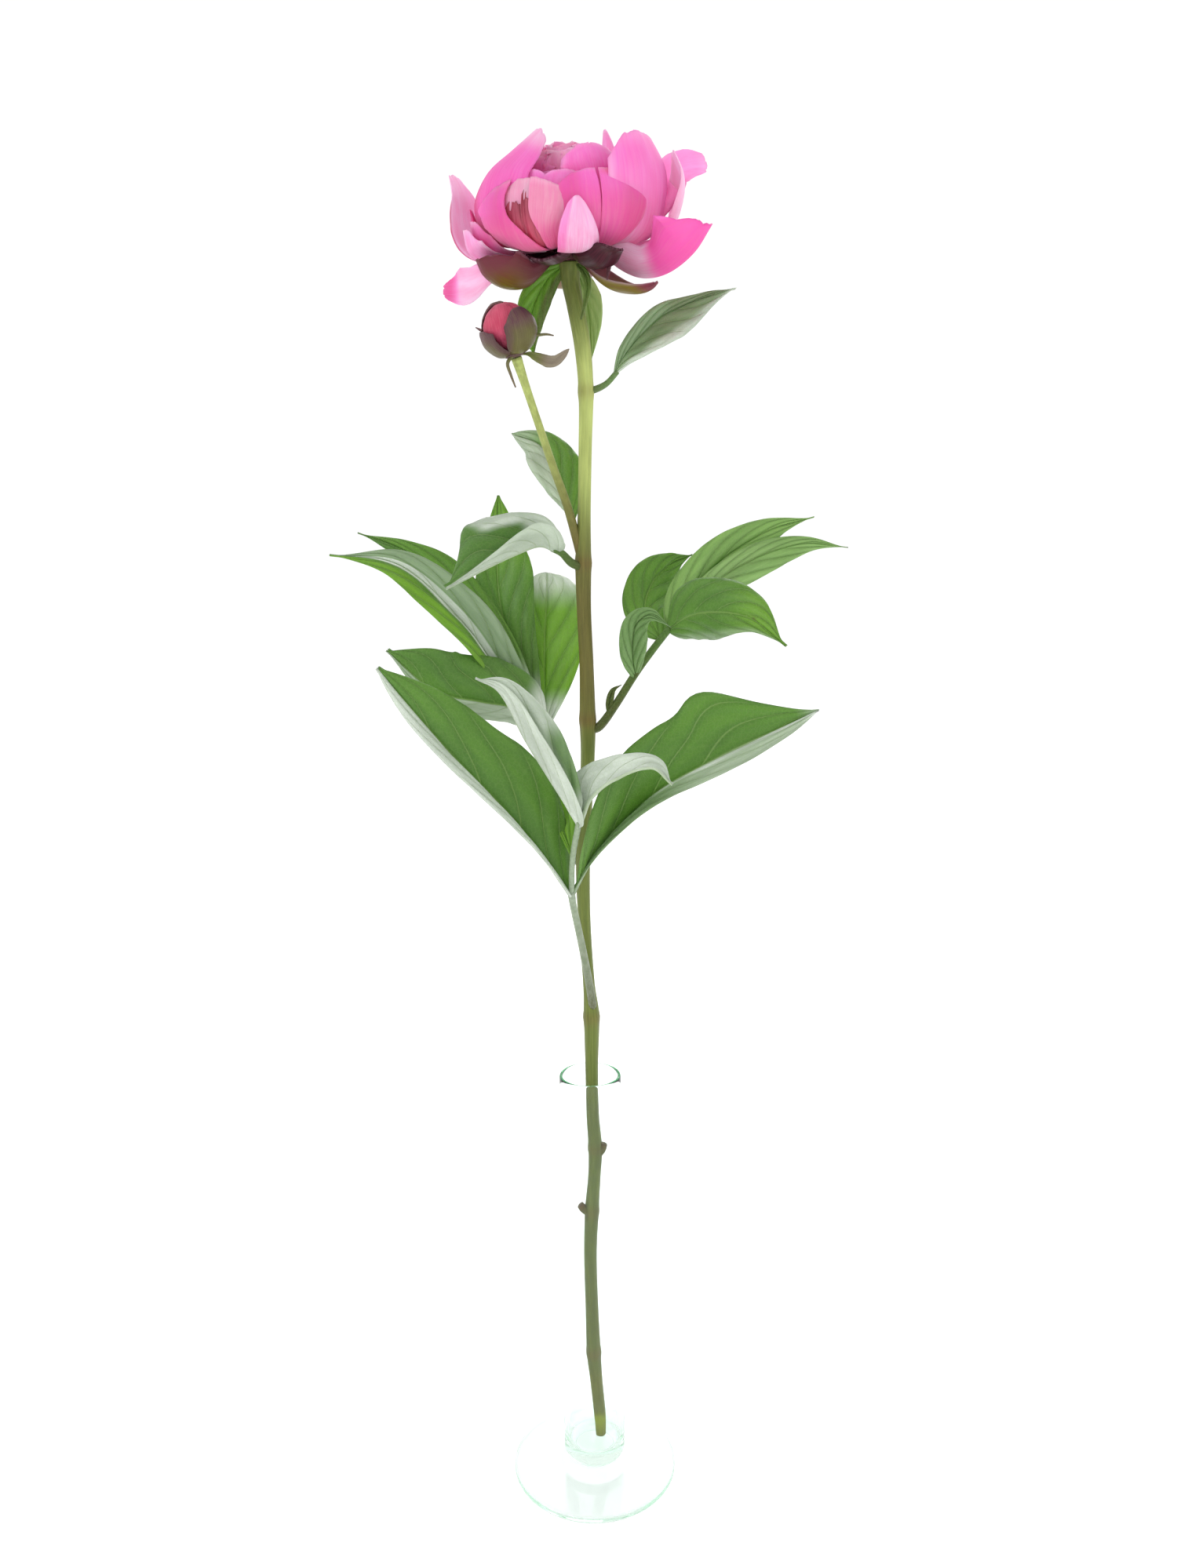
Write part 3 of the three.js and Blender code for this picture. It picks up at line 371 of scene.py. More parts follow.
# %% [markdown]
# ## Stalks and turned bodies
# A stalk is a tube: a ring of points is carried along a curve, with its radius changing on the
# way. A turned body, such as the vase or the middle of the bud, is a profile carried round an
# axis. Both are one grid of points that closes on itself, with a pole at each end.

# %% Tubes and turned bodies
STALK_RIDGES = 5
RIDGE_SHARE = 0.03
STALK_SEED_STEP = 0.37


def closed_grid(rings, first_pole, last_pole, along_values, tones, seed):
    """Rings of points joined into a closed skin, each end shut with a fan to its pole."""
    rows, sides = rings.shape[:2]
    index = np.arange(rows * sides).reshape(rows, sides)
    following = np.roll(index, -1, axis=1)
    quads = np.stack([index[:-1], following[:-1], following[1:], index[1:]], -1).reshape(-1, 4)
    first, last = rows * sides, rows * sides + 1
    fan = np.stack([following[0], index[0], np.full(sides, first), np.full(sides, first)], -1)
    lid = np.stack([index[-1], following[-1], np.full(sides, last), np.full(sides, last)], -1)
    turn = np.broadcast_to(np.linspace(0, 1, sides, endpoint=False), (rows, sides))
    length = np.broadcast_to(along_values[:, None], (rows, sides))
    place = np.stack([turn.ravel(), length.ravel()], -1)
    poles = [[0.5, along_values[0]], [0.5, along_values[-1]]]
    tones = np.concatenate([np.repeat(tones, sides, 0), tones[:1], tones[-1:]])
    count = rows * sides + 2
    return {
        "points": np.concatenate([rings.reshape(-1, 3), [first_pole, last_pole]]),
        "faces": np.concatenate([quads, fan, lid]),
        "sheet": np.concatenate([place, poles]),
        "tone": tones,
        "upper": np.ones(count),
        "seed": np.full(count, seed),
    }


def tube(points, sides=20, steps=8, tone=(0, 0, 0), knots=()):
    """A round stalk through points [x, y, z, radius], in millimetres.

    The ring at u is centre + radius (1 + share cos(5 angle + 4 u)) (cos(angle) side +
    sin(angle) face), with a small share for its ridges. knots are [u, extra radius, spread] where
    a leaf was borne. tone gives warm, pale and dark, each a number or numbers from base to tip,
    or is a function of u.
    """
    points = np.asarray(points, float)
    u = np.linspace(0, 1, (len(points) - 1) * steps + 1)
    centre, tangent = spline(points[:, :3], u)
    radius = along(points[:, 3], u)
    for at, extra, spread in knots:
        radius = radius + extra * np.exp(-(((u - at) / spread) ** 2))
    front = np.asarray(FRONT, float)
    face = unit(front - (tangent @ front)[:, None] * tangent)
    side = np.cross(tangent, face)
    angle = np.linspace(0, 2 * np.pi, sides, endpoint=False)
    ridges = RIDGE_SHARE * np.cos(STALK_RIDGES * angle + 4 * u[:, None])
    ring = radius[:, None] * (1 + ridges)
    rings = centre[:, None] + (ring * np.cos(angle))[..., None] * side[:, None]
    rings = rings + (ring * np.sin(angle))[..., None] * face[:, None]
    tones = np.stack([along(values, u) for values in (tone(u) if callable(tone) else tone)], -1)
    seed = STALK_SEED_STEP * len(points)
    return closed_grid(rings[:, ::-1], centre[0], centre[-1], u * 10, tones, seed)


def turned(profile, segments, tone=(0, 0, 0)):
    """A body of revolution round +Z through [radius, height], from bottom to top, closed."""
    radius, height = np.asarray(profile, float).T
    angle = np.linspace(0, 2 * np.pi, segments, endpoint=False)
    ring = np.stack([np.cos(angle), np.sin(angle), 0 * angle], -1)
    rings = radius[1:-1, None, None] * ring + height[1:-1, None, None] * np.array([0, 0, 1.0])
    poles = [0, 0, height[0]], [0, 0, height[-1]]
    tones = np.tile(np.asarray(tone, float), (len(rings), 1))
    return closed_grid(rings, *poles, np.linspace(0, 1, len(rings)), tones, 0.5)


print("a turned test cone has", len(turned([[0, 0], [1, 0], [0, 1]], 8)["points"]), "points")

# %% [markdown]
# ## From arrays to a mesh
# Several sheets and stalks that grow together are one mesh. Beside its points, each carries what
# its material reads: a place on the sheet as a UV map, which face is the upper one, a seed that
# makes no two petals alike, and three tones, warm, pale and dark, painted by formula.

# %% Making a piece


def piece(name, parts, material, slot, *nodes):
    """Joins parts into one object in metres, which rides on the root and replaces nodes."""
    offsets = np.cumsum([0] + [len(part["points"]) for part in parts[:-1]])
    joined = {key: np.concatenate([part[key] for part in parts])
              for key in ("points", "sheet", "tone", "upper", "seed")}
    faces = np.concatenate([part["faces"] + offset for part, offset in zip(parts, offsets)])
    mesh = bpy.data.meshes.new(name)
    polygons = [face[:3] if face[2] == face[3] else face for face in faces.tolist()]
    mesh.from_pydata((joined["points"] * MM).tolist(), [], polygons)
    corners = np.empty(len(mesh.loops), dtype=np.int32)
    mesh.loops.foreach_get("vertex_index", corners)
    uv_map = mesh.uv_layers.new(name="sheet")
    uv_map.data.foreach_set("uv", joined["sheet"][corners].astype(np.float32).ravel())
    for key in ("upper", "seed"):
        values = mesh.attributes.new(key, "FLOAT", "POINT")
        values.data.foreach_set("value", joined[key].astype(np.float32))
    tone = mesh.attributes.new("tone", "FLOAT_VECTOR", "POINT")
    tone.data.foreach_set("vector", joined["tone"].astype(np.float32).ravel())
    mesh.polygons.foreach_set("use_smooth", [True] * len(mesh.polygons))
    mesh.materials.append(material)
    body = bpy.data.objects.new(name, mesh)
    scene.collection.objects.link(body)
    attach(body, "root")
    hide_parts(*nodes)
    triangles = sum(len(polygon) - 2 for polygon in polygons)
    print(name, "has", len(parts), "parts and", triangles, "triangles")


print("pieces go into", scene.collection.name)


# %% [markdown]
# ## A shared effect: veins
# A peony's leaflet has a strong midrib and a handful of side veins on each side, which leave it at
# a slant and bend forward towards the edge, with a fine net between them. An image could hold them,
# but distances on the sheet give sharp lines at any size. With q the distance from the rib, a side
# vein is where count * (u - slant * q^bend) is a whole number. The left half is shifted by a half.
# The leaf sinks in a broad, soft furrow along each vein, and shade is painted into the colour along
# it.

# %% The veins group
VEIN_PAIRS = 5.0
VEIN_SLANT = 0.42
VEIN_BEND = 1.15
NET_DEPTH = 0.22


def veins_group():
    """Sheet place in; masks of veins, painted furrow shade and net, and a bump height, out."""
    group = bpy.data.node_groups.new("veins", "ShaderNodeTree")
    group.interface.new_socket("Sheet", in_out="INPUT", socket_type="NodeSocketVector")
    group.interface.new_socket("Place", in_out="INPUT", socket_type="NodeSocketVector")
    group.interface.new_socket("Net Size", in_out="INPUT", socket_type="NodeSocketFloat")
    for output_name in ("Veins", "Furrow Shade", "Net", "Height"):
        group.interface.new_socket(output_name, in_out="OUTPUT", socket_type="NodeSocketFloat")
    inside = put(group, "NodeGroupInput").outputs
    across_, up, _ = put(group, "ShaderNodeSeparateXYZ", {0: inside["Sheet"]}).outputs
    v = sums(group, "MULTIPLY_ADD", across_, 2.0, -1.0)
    q = sums(group, "ABSOLUTE", v)
    bent = sums(group, "POWER", q, VEIN_BEND)
    start = sums(group, "MULTIPLY_ADD", bent, -VEIN_SLANT, up)
    shift = sums(group, "MULTIPLY", sums(group, "LESS_THAN", v, 0.0), 0.5)
    phase = sums(group, "MULTIPLY_ADD", start, VEIN_PAIRS, shift)
    away = sums(group, "PINGPONG", phase, 0.5)
    side_vein = ramp(group, away, 0.0, 0.05, 1.0, 0.0)
    # the furrow mask: a soft band beside each side vein where shade is painted into the colour
    near_vein = ramp(group, away, 0.03, 0.3, 1.0, 0.0)
    furrow_shade = sums(group, "MULTIPLY", near_vein, ramp(group, q, 0.0, 0.25))
    side_vein = sums(group, "MULTIPLY", side_vein, ramp(group, q, 0.75, 1.0, 1.0, 0.0))
    midrib = ramp(group, q, 0.012, 0.06, 1.0, 0.0)
    strong = sums(group, "MAXIMUM", side_vein, midrib)
    cells = put(group, "ShaderNodeTexVoronoi",
                {"Vector": inside["Place"], "Scale": inside["Net Size"]}, feature="DISTANCE_TO_EDGE")
    net = ramp(group, cells.outputs["Distance"], 0.0, 0.12, 1.0, 0.0)
    sunk = sums(group, "MULTIPLY", strong, -1.0)
    height = sums(group, "MULTIPLY_ADD", net, -NET_DEPTH, sunk)
    put(group, "NodeGroupOutput", {"Veins": strong, "Furrow Shade": furrow_shade, "Net": net, "Height": height})
    return group


VEINS = veins_group()
print("veins group has", len(VEINS.nodes), "nodes")

# %% [markdown]
# ## A shared effect: streaks
# Petals, sepals and stalks are built of long cells, so their colour runs in fine streaks from
# base to tip. Noise that is stretched along the sheet gives them, and a coarser noise the soft
# blotches. The seed moves both, so that no two petals carry the same ones.

# %% The streaks group
NOISE_DETAIL = 3.0


def streaks_group():
    """Sheet place and seed in; fine streaks and broad blotches, both from 0 to 1, out."""
    group = bpy.data.node_groups.new("streaks", "ShaderNodeTree")
    group.interface.new_socket("Sheet", in_out="INPUT", socket_type="NodeSocketVector")
    group.interface.new_socket("Seed", in_out="INPUT", socket_type="NodeSocketFloat")
    group.interface.new_socket("Fineness", in_out="INPUT", socket_type="NodeSocketFloat")
    for output_name in ("Streaks", "Blotches"):
        group.interface.new_socket(output_name, in_out="OUTPUT", socket_type="NodeSocketFloat")
    inside = put(group, "NodeGroupInput").outputs
    across_, up, _ = put(group, "ShaderNodeSeparateXYZ", {0: inside["Sheet"]}).outputs
    fine = sums(group, "MULTIPLY", across_, inside["Fineness"])
    slow = sums(group, "MULTIPLY", up, 3.0)
    wide = sums(group, "MULTIPLY", across_, 4.0)
    masks = {}
    for output_name, crosswise in (("Streaks", fine), ("Blotches", wide)):
        place = put(group, "ShaderNodeCombineXYZ", {0: crosswise, 1: slow, 2: inside["Seed"]})
        noise = put(group, "ShaderNodeTexNoise",
                    {"Vector": place.outputs[0], "Scale": 1.0, "Detail": NOISE_DETAIL})
        masks[output_name] = ramp(group, noise.outputs[0], 0.3, 0.7)
    put(group, "NodeGroupOutput", masks)
    return group


STREAKS = streaks_group()
print("streaks group has", len(STREAKS.nodes), "nodes")

# %% [markdown]
# ## Plant tissue
# Leaves, petals and sepals let light through, so a plain glossy plastic looks dead on them. A
# subsurface shader is one way, but on a sheet under a millimetre thick a mix with a Translucent
# shader is closer: part of the light that falls on the back comes out at the front, in the tissue's
# own strong colour. The three painted tones shift the colour where the real sheet is warm, pale
# or dark.

# %% One recipe for all tissues
NET_SIZE = 620.0
FURROW_SHADE_SHARE = 0.3
VEIN_SHARE = 0.36
NET_SHARE = 0.12
BUMP_DISTANCE = 0.0003


def tissue(name, colours, upper, lower, warm, pale, dark, roughness, through, glow, veined=False,
           fineness=60.0, contrast=0.25, bump=0.3, sheen=0.0, gloss=0.5):
    """A leaf's, petal's or sepal's material.

    upper and lower are the colours of the two faces from base to tip as [(place, colour)...].
    colours are those of the streaks, of the blotches and the painted shade in the furrows, and of
    the veins. warm, pale and dark are the colours of the painted tones. through is how much light
    comes out in the glow colour.
    """
    material, tree, output = empty_material(name)
    place = put(tree, "ShaderNodeUVMap", uv_map="sheet").outputs[0]
    seed = put(tree, "ShaderNodeAttribute", attribute_name="seed").outputs["Fac"]
    face = put(tree, "ShaderNodeAttribute", attribute_name="upper").outputs["Fac"]
    tone = put(tree, "ShaderNodeAttribute", attribute_name="tone").outputs["Vector"]
    warmth, paleness, darkness = put(tree, "ShaderNodeSeparateXYZ", {0: tone}).outputs
    across_, up, _ = put(tree, "ShaderNodeSeparateXYZ", {0: place}).outputs
    streaks = put(tree, "ShaderNodeGroup", node_tree=STREAKS)
    tree.links.new(place, streaks.inputs["Sheet"])
    tree.links.new(seed, streaks.inputs["Seed"])
    streaks.inputs["Fineness"].default_value = fineness
    fine, broad = streaks.outputs
    shades = []
    for stops in (upper, lower):
        bands = put(tree, "ShaderNodeValToRGB", {0: up})
        bands.color_ramp.interpolation = "EASE"
        while len(bands.color_ramp.elements) < len(stops):
            bands.color_ramp.elements.new(0.5)
        for element, (position, colour) in zip(bands.color_ramp.elements, stops):
            element.position = position
            element.color = colour
        shades.append(bands.outputs[0])
    colour = mixed(tree, face, shades[1], shades[0])
    for amount, target in ((warmth, warm), (paleness, pale), (darkness, dark)):
        uneven = sums(tree, "MULTIPLY", amount, ramp(tree, fine, 0.0, 1.0, 0.75, 1.2), clamp=True)
        colour = mixed(tree, uneven, colour, target)
    colour = mixed(tree, sums(tree, "MULTIPLY", fine, contrast), colour, colours[0])
    colour = mixed(tree, sums(tree, "MULTIPLY", broad, contrast), colour, colours[1])
    height = fine
    if veined:
        body = put(tree, "ShaderNodeTexCoord").outputs["Object"]
        net = put(tree, "ShaderNodeGroup", node_tree=VEINS)
        tree.links.new(place, net.inputs["Sheet"])
        tree.links.new(body, net.inputs["Place"])
        net.inputs["Net Size"].default_value = NET_SIZE
        # painted shade: the upper face is darkened along the furrows, less where it is pale
        shade = sums(tree, "MULTIPLY", net.outputs["Furrow Shade"], face)
        shade = sums(tree, "MULTIPLY", shade, FURROW_SHADE_SHARE)
        green = ramp(tree, paleness, 0.0, 0.7, 1.0, 0.1)
        colour = mixed(tree, sums(tree, "MULTIPLY", shade, green), colour, colours[1])
        for mask, share in (("Veins", VEIN_SHARE), ("Net", NET_SHARE)):
            lines = sums(tree, "MULTIPLY", net.outputs[mask], share)
            colour = mixed(tree, lines, colour, colours[2])
        height = net.outputs["Height"]
    relief = put(tree, "ShaderNodeBump",
                 {"Height": height, "Strength": bump, "Distance": BUMP_DISTANCE})
    skin = put(tree, "ShaderNodeBsdfPrincipled", {
        "Base Color": colour,
        "Roughness": sums(tree, "MULTIPLY_ADD", broad, 0.12, roughness),
        "Specular IOR Level": gloss,
        "Sheen Weight": sheen,
        "Sheen Roughness": 0.4,
        "Normal": relief.outputs[0],
    })
    deeper = mixed(tree, ramp(tree, paleness, 0.0, 0.8, 0.55, 0.1), colour, glow)
    inner = put(tree, "ShaderNodeBsdfTranslucent", {"Color": deeper, "Normal": relief.outputs[0]})
    both = put(tree, "ShaderNodeMixShader", {0: through, 1: skin.outputs[0], 2: inner.outputs[0]})
    tree.links.new(both.outputs[0], output.inputs["Surface"])
    print(name, "has", len(tree.nodes), "shader nodes")
    return material


print("tissue recipe ready, with a net of", NET_SIZE, "cells to the metre")

# %% [markdown]
# ## The glass
# The vase is one piece of glass: almost clear through the thin wall of the tube, and bottle green
# where the light goes a long way through it, as in the thick floor and along the rim of the foot.
# A green base colour would tint the thin wall as much, so the colour is in the volume, which takes
# away a share of red and blue for each millimetre that the light travels. Light that is caught in
# the round foot leaves it only after many reflections, and a path that is cut short would draw a
# black line there, so the paths are let run long. The refraction is kept low, because a truer one
# draws dark lines along the lip in a room that is white all round.

# %% Glass material
GLASS_IOR = 1.3
GLASS_DENSITY = 13.0
RIPPLE_SIZE = 45.0
ALL_BOUNCES = 80
GLOSSY_BOUNCES = 72
TRANSMISSION_BOUNCES = 24

glass, tree, output = empty_material("bottle_glass")
ripples = put(tree, "ShaderNodeTexNoise", {
    "Vector": put(tree, "ShaderNodeTexCoord").outputs["Object"], "Scale": RIPPLE_SIZE, "Detail": 1.0,
})
drawn = put(tree, "ShaderNodeBump", {
    "Height": ripples.outputs[0], "Strength": 0.05, "Distance": 0.001,
})
glass_skin = put(tree, "ShaderNodeBsdfPrincipled", {
    "Base Color": (0.95, 0.98, 0.97, 1), "Roughness": 0.01, "IOR": GLASS_IOR,
    "Transmission Weight": 1.0, "Normal": drawn.outputs[0],
})
bottle_green = put(tree, "ShaderNodeVolumeAbsorption", {
    "Color": (0.5, 0.82, 0.62, 1), "Density": GLASS_DENSITY,
})
tree.links.new(glass_skin.outputs[0], output.inputs["Surface"])
tree.links.new(bottle_green.outputs[0], output.inputs["Volume"])
scene.cycles.max_bounces = ALL_BOUNCES
scene.cycles.glossy_bounces = GLOSSY_BOUNCES
scene.cycles.transmission_bounces = TRANSMISSION_BOUNCES
print("glass with a refraction of", GLASS_IOR)

# %% [markdown]
# ## The vase
# On the real vase the tube is drawn from the same glass as its round foot, so every corner is
# softly melted. A bevel modifier could round the corners, but cutting the corners of the profile
# before it is turned is simpler: two points, a quarter of the way along the sides next to it, take
# each corner's place.

# %% Vase
VASE_HEIGHT = 200
RIM_RADIUS = 14.2
TUBE_BASE_RADIUS = 14.7
WALL = 1.8
FOOT_RADIUS = 38.8
FOOT_THICKNESS = 4
NECK_RADIUS = 9.5
NECK_TOP = 7
FLOOR_HEIGHT = 15
FLOOR_DOME = 1.4
LIP = WALL / 2
INNER = RIM_RADIUS - WALL
INNER_BASE = TUBE_BASE_RADIUS - WALL

vase_profile = [
    [0, 0], [FOOT_RADIUS - 2, 0], [FOOT_RADIUS - 0.4, 0.9], [FOOT_RADIUS, 2.2],
    [FOOT_RADIUS - 0.5, 3.4], [FOOT_RADIUS - 2, FOOT_THICKNESS],
    [NECK_RADIUS + 3, FOOT_THICKNESS + 0.6], [NECK_RADIUS, FOOT_THICKNESS + 1.8],
    [NECK_RADIUS + 0.6, NECK_TOP], [TUBE_BASE_RADIUS - 2.2, NECK_TOP + 1.2],
    [TUBE_BASE_RADIUS - 0.4, NECK_TOP + 3.2], [TUBE_BASE_RADIUS, NECK_TOP + 6],
    [RIM_RADIUS, VASE_HEIGHT - 12], [RIM_RADIUS, VASE_HEIGHT - LIP],
    [RIM_RADIUS - 0.3 * WALL, VASE_HEIGHT], [INNER + 0.3 * WALL, VASE_HEIGHT],
    [INNER, VASE_HEIGHT - LIP], [INNER, VASE_HEIGHT - 12],
    [INNER_BASE, FLOOR_HEIGHT + 3], [INNER_BASE - 1, FLOOR_HEIGHT + 0.8],
    [INNER_BASE - 3.4, FLOOR_HEIGHT], [INNER_BASE / 3, FLOOR_HEIGHT + FLOOR_DOME * 0.8],
    [0, FLOOR_HEIGHT + FLOOR_DOME],
]


def corners_cut(profile, times):
    """Each side gives way to the points at a quarter and three quarters of it; the ends stay."""
    profile = np.asarray(profile, float)
    for _ in range(times):
        start, end = profile[:-1], profile[1:]
        cut = np.stack([0.75 * start + 0.25 * end, 0.25 * start + 0.75 * end], 1).reshape(-1, 2)
        profile = np.concatenate([profile[:1], cut[1:-1], profile[-1:]])
    return profile


piece("vase_glass", [turned(corners_cut(vase_profile, 3), 128)], glass, "glass", "vase")

# %% [markdown]
# ## The stem
# The stem is woody and a little crooked. It swells at each node, where a leaf was borne, and two
# leaf stalks were cut off low down. It is olive green in the vase, flushed with purple brown
# among the leaves, and yellow green above them. A straight tube would look like plastic, so its
# line follows the photograph and its knots are part of the radius.

# %% Flower frames
BLOOM_SEAT = (-4, -1, 551)
BLOOM_LEAN = (10, -2)
BUD_SEAT = (-26, -14, 511.5)
BUD_LEAN = (14, -16)
BUD_RADIUS = 10


def flower_frame(seat, lean):
    """The turn towards the viewer about X, after the one to the right about Y, and the seat."""
    forward, right = np.radians(lean)
    turn = Matrix.Rotation(forward, 3, "X") @ Matrix.Rotation(right, 3, "Y")
    return np.array(turn), np.array(seat, float)


BLOOM = flower_frame(BLOOM_SEAT, BLOOM_LEAN)
BUD = flower_frame(BUD_SEAT, BUD_LEAN)


def placed(flower, points):
    """Points of a flower's own frame in the frame of the whole."""
    turn, seat = flower
    return np.asarray(points, float) @ turn.T + seat


def under_seat(flower, depth):
    """A point on a flower's axis, below its seat."""
    return list(placed(flower, [0, 0, -depth]))


print("the bloom's middle is at", placed(BLOOM, [0, 0, 20]).round(1))


# %% Stem
STEM_BANDS = [
    (0, screen(140, 150, 44)), (0.34, screen(152, 170, 36)), (0.44, screen(112, 124, 52)),
    (0.7, screen(112, 120, 52)), (1, screen(96, 110, 50)),
]
stem_skin = tissue(
    "stem_skin",
    colours=[screen(146, 158, 74), screen(96, 98, 48)],
    upper=STEM_BANDS, lower=STEM_BANDS,
    warm=screen(198, 212, 126), pale=screen(200, 205, 170), dark=screen(108, 62, 44),
    roughness=0.42, through=0.04, glow=screen(190, 220, 110), fineness=26.0, contrast=0.3, bump=0.6,
    gloss=0.25,
)


def main_stem_tone(u):
    """Yellow green near the top, purple brown in the middle, at the foot and at every knot."""
    warm = step(u, 0.74, 0.83) * (1 - 0.9 * step(u, 0.86, 0.92))
    brown = 0.55 * step(u, 0.59, 0.66) * (1 - step(u, 0.7, 0.8)) + 0.15 * (1 - step(u, 0.05, 0.2))
    for node_place in NODE_PLACES:
        brown = brown + 0.35 * np.exp(-(((u - node_place) / 0.006) ** 2))
    return warm, 0 * u, np.clip(brown, 0, 1)


MAIN_STEM = [
    [3, 0, 16.75, 2.4], [2.6, 0.4, 27, 2.8], [1, 2, 45, 3], [0, 3, 58, 3.4], [-0.6, 4.4, 80, 3.1],
    [-1, 6, 107, 3.1], [0, 6.8, 129, 3.3], [1.4, 7.4, 146, 3], [2, 8, 160, 3.3], [1, 8.4, 177, 3],
    [0.8, 8.9, 200, 3], [1, 9.2, 224, 3.6], [0, 10, 240, 2.7], [-1.6, 10, 268, 2.8],
    [-2, 10, 294, 3.2], [-0.6, 9.2, 320, 3], [0.8, 8, 345, 3.1], [1, 8, 362, 3.5],
    [0.8, 7, 386, 3.1], [0, 5.4, 410, 3.1], [0, 4.2, 430, 3.4], [0.6, 3.4, 450, 2.8],
    [1.4, 2.4, 478, 2.8], [2, 1.8, 500, 3.1], [0.8, 1, 518, 3.4], [-2, 0, 534, 3.5],
    [*under_seat(BLOOM, 8), 3.8], [*under_seat(BLOOM, 0.3), 4.4],
]
NODE_PLACES = [i / (len(MAIN_STEM) - 1) for i in (3, 6, 8, 11, 17, 20, 23)]
BUD_BRANCH = [
    [-0.6, 4.4, 430, 1.8], [-3.4, 3, 442, 1.9], [-7, 0.4, 455, 1.8], [-12, -3, 469, 1.7],
    [-18, -7, 487, 1.6], [-22.6, -10.6, 501, 1.7], [*under_seat(BUD, 0.3), 2.2],
]
LEFT_STUB = [[1, 7, 127, 1.8], [-3.4, 6, 130, 2], [-5.4, 5.6, 132.6, 1.7]]
RIGHT_STUB = [[1.6, 8, 155, 1.6], [5, 7.6, 159, 1.9], [6.4, 7.4, 162.4, 1.6]]

KNOT_SWELL = 0.35
KNOT_SPREAD = 0.005

stem_knots = [(place, KNOT_SWELL, KNOT_SPREAD) for place in NODE_PLACES]
piece("stem_look", [
    tube(MAIN_STEM, sides=28, steps=14, tone=main_stem_tone, knots=stem_knots),
    tube(BUD_BRANCH, sides=20, steps=10, tone=([0, 0.3, 0.8, 1], 0, [0.8, 0.4, 0.1, 0])),
    tube(LEFT_STUB, tone=(0, 0, [0.1, 0.4, 1])),
    tube(RIGHT_STUB, tone=(0, 0, [0.1, 0.4, 0.8])),
], stem_skin, "stem_green", "stem")

# %% [markdown]
# ## Leaf shapes
# A peony's leaflet is a lance: widest a little below the middle, rounded at the base and drawn
# out at the tip. A sine over the leaf's length gives that, when the length is bent so that its top
# comes early, and raised to a power that grows towards the tip. Between its side veins the
# blade is quilted, a low cushion in each field.

# %% Leaf outline and quilting
LEAF_THICKNESS = 0.4


def leaf_outline(peak=0.75, base=0.75, tip=1.5, least=0.03):
    """Half-width share at u: sin(pi u^peak) to the power base + (tip - base) u, at least least."""
    return lambda u: np.maximum(
        np.clip(np.sin(np.pi * u**peak), 0, 1) ** (base + (tip - base) * u), least)


def quilting(u, v):
    """Cushions 0.7 mm high between the side veins, and a groove 0.35 mm deep along the rib."""
    q = np.abs(v)
    phase = VEIN_PAIRS * (u - VEIN_SLANT * q**VEIN_BEND) + 0.5 * (v < 0)
    cushion = np.abs(np.sin(np.pi * phase)) ** 0.8 * np.sqrt(np.clip(4 * q * (1 - q), 0, 1))
    return 0.7 * cushion * np.sin(np.pi * u) ** 0.4 - 0.35 * np.exp(-((v / 0.05) ** 2))


def leaflet(rib, half, tilt, curl=(0, 0), wave=(0, 0, 0), shape=(0.75, 0.75, 1.5), front=FRONT,
            rows=60, columns=36, tone=(0, 0, 0)):
    """A leaflet with a raised rib below.

    tone gives warm, pale and dark, each from base to tip, or is a function of u and v.
    """
    painted = tone if callable(tone) else lambda u, v: [along(values, u) for values in tone]
    return sheet(
        rib, half, leaf_outline(*shape), LEAF_THICKNESS, rows, columns, tilt, curl, front,
        wave=wave, relief=quilting, ridge=0.7, ragged=0.012, frill=0.25, tone=painted,
    )


def band(value, low, high, soft=0.06):
    """1 between low and high, with soft ends."""
    return step(value, low - soft, low + soft) * (1 - step(value, high - soft, high + soft))


print("a leaflet's width at five places", leaf_outline()(np.linspace(0, 1, 5)).round(2))

# %% [markdown]
# ## Leaf material
# The upper face is a waxy green with paler veins. The underside is grey green and silvery. Held
# against the light, the blade glows yellow green. All three come from one recipe. The pale tone is
# near white: on the undersides it is their silver, and along some ribs and folds a painted sheen.

# %% Leaf material
leaf_skin = tissue(
    "leaf_skin",
    # the second colour is also the painted shade in the vein furrows
    colours=[screen(98, 142, 52), screen(52, 88, 34), screen(160, 190, 112)],
    upper=[(0, screen(104, 146, 68)), (0.5, screen(86, 128, 54)), (1, screen(94, 136, 62))],
    lower=[(0, screen(180, 196, 170)), (1, screen(164, 184, 150))],
    # the pale tone is near white, for silvery undersides and for strips of painted sheen
    warm=screen(132, 184, 46), pale=screen(250, 254, 250), dark=screen(92, 62, 44),
    roughness=0.36, through=0.26, glow=screen(140, 208, 0), veined=True, fineness=18.0,
    contrast=0.26, bump=0.7, sheen=0.1, gloss=0.35,
)

# %% [markdown]
# ## The front leaf
# The lowest leaf comes forward on a long stalk, brown at its base. It has a broad leaflet on each
# side, both half folded, so that a silvery strip of underside shows below the rib, painted near
# white as a sheen of light, and two small folded leaflets on a stalk of their own between them.
# A last small one stands behind.

# %% Front leaf
STALK_TONE = (0, 0.55, [0.8, 0.4, 0.1])


def folded_edge_and_sheen(u, v):
    """The lower half is grey green, and silvery with a painted sheen along the rib and at the tip.
    """
    near = step(v, -0.02, 0.04) * (0.25 + 0.3 * step(u, 0.5, 0.75))
    return near + 0.6 * band(v, -0.01, 0.3, 0.02) * step(u, 0.45, 0.6) + 0.5 * step(u, 0.95, 1)


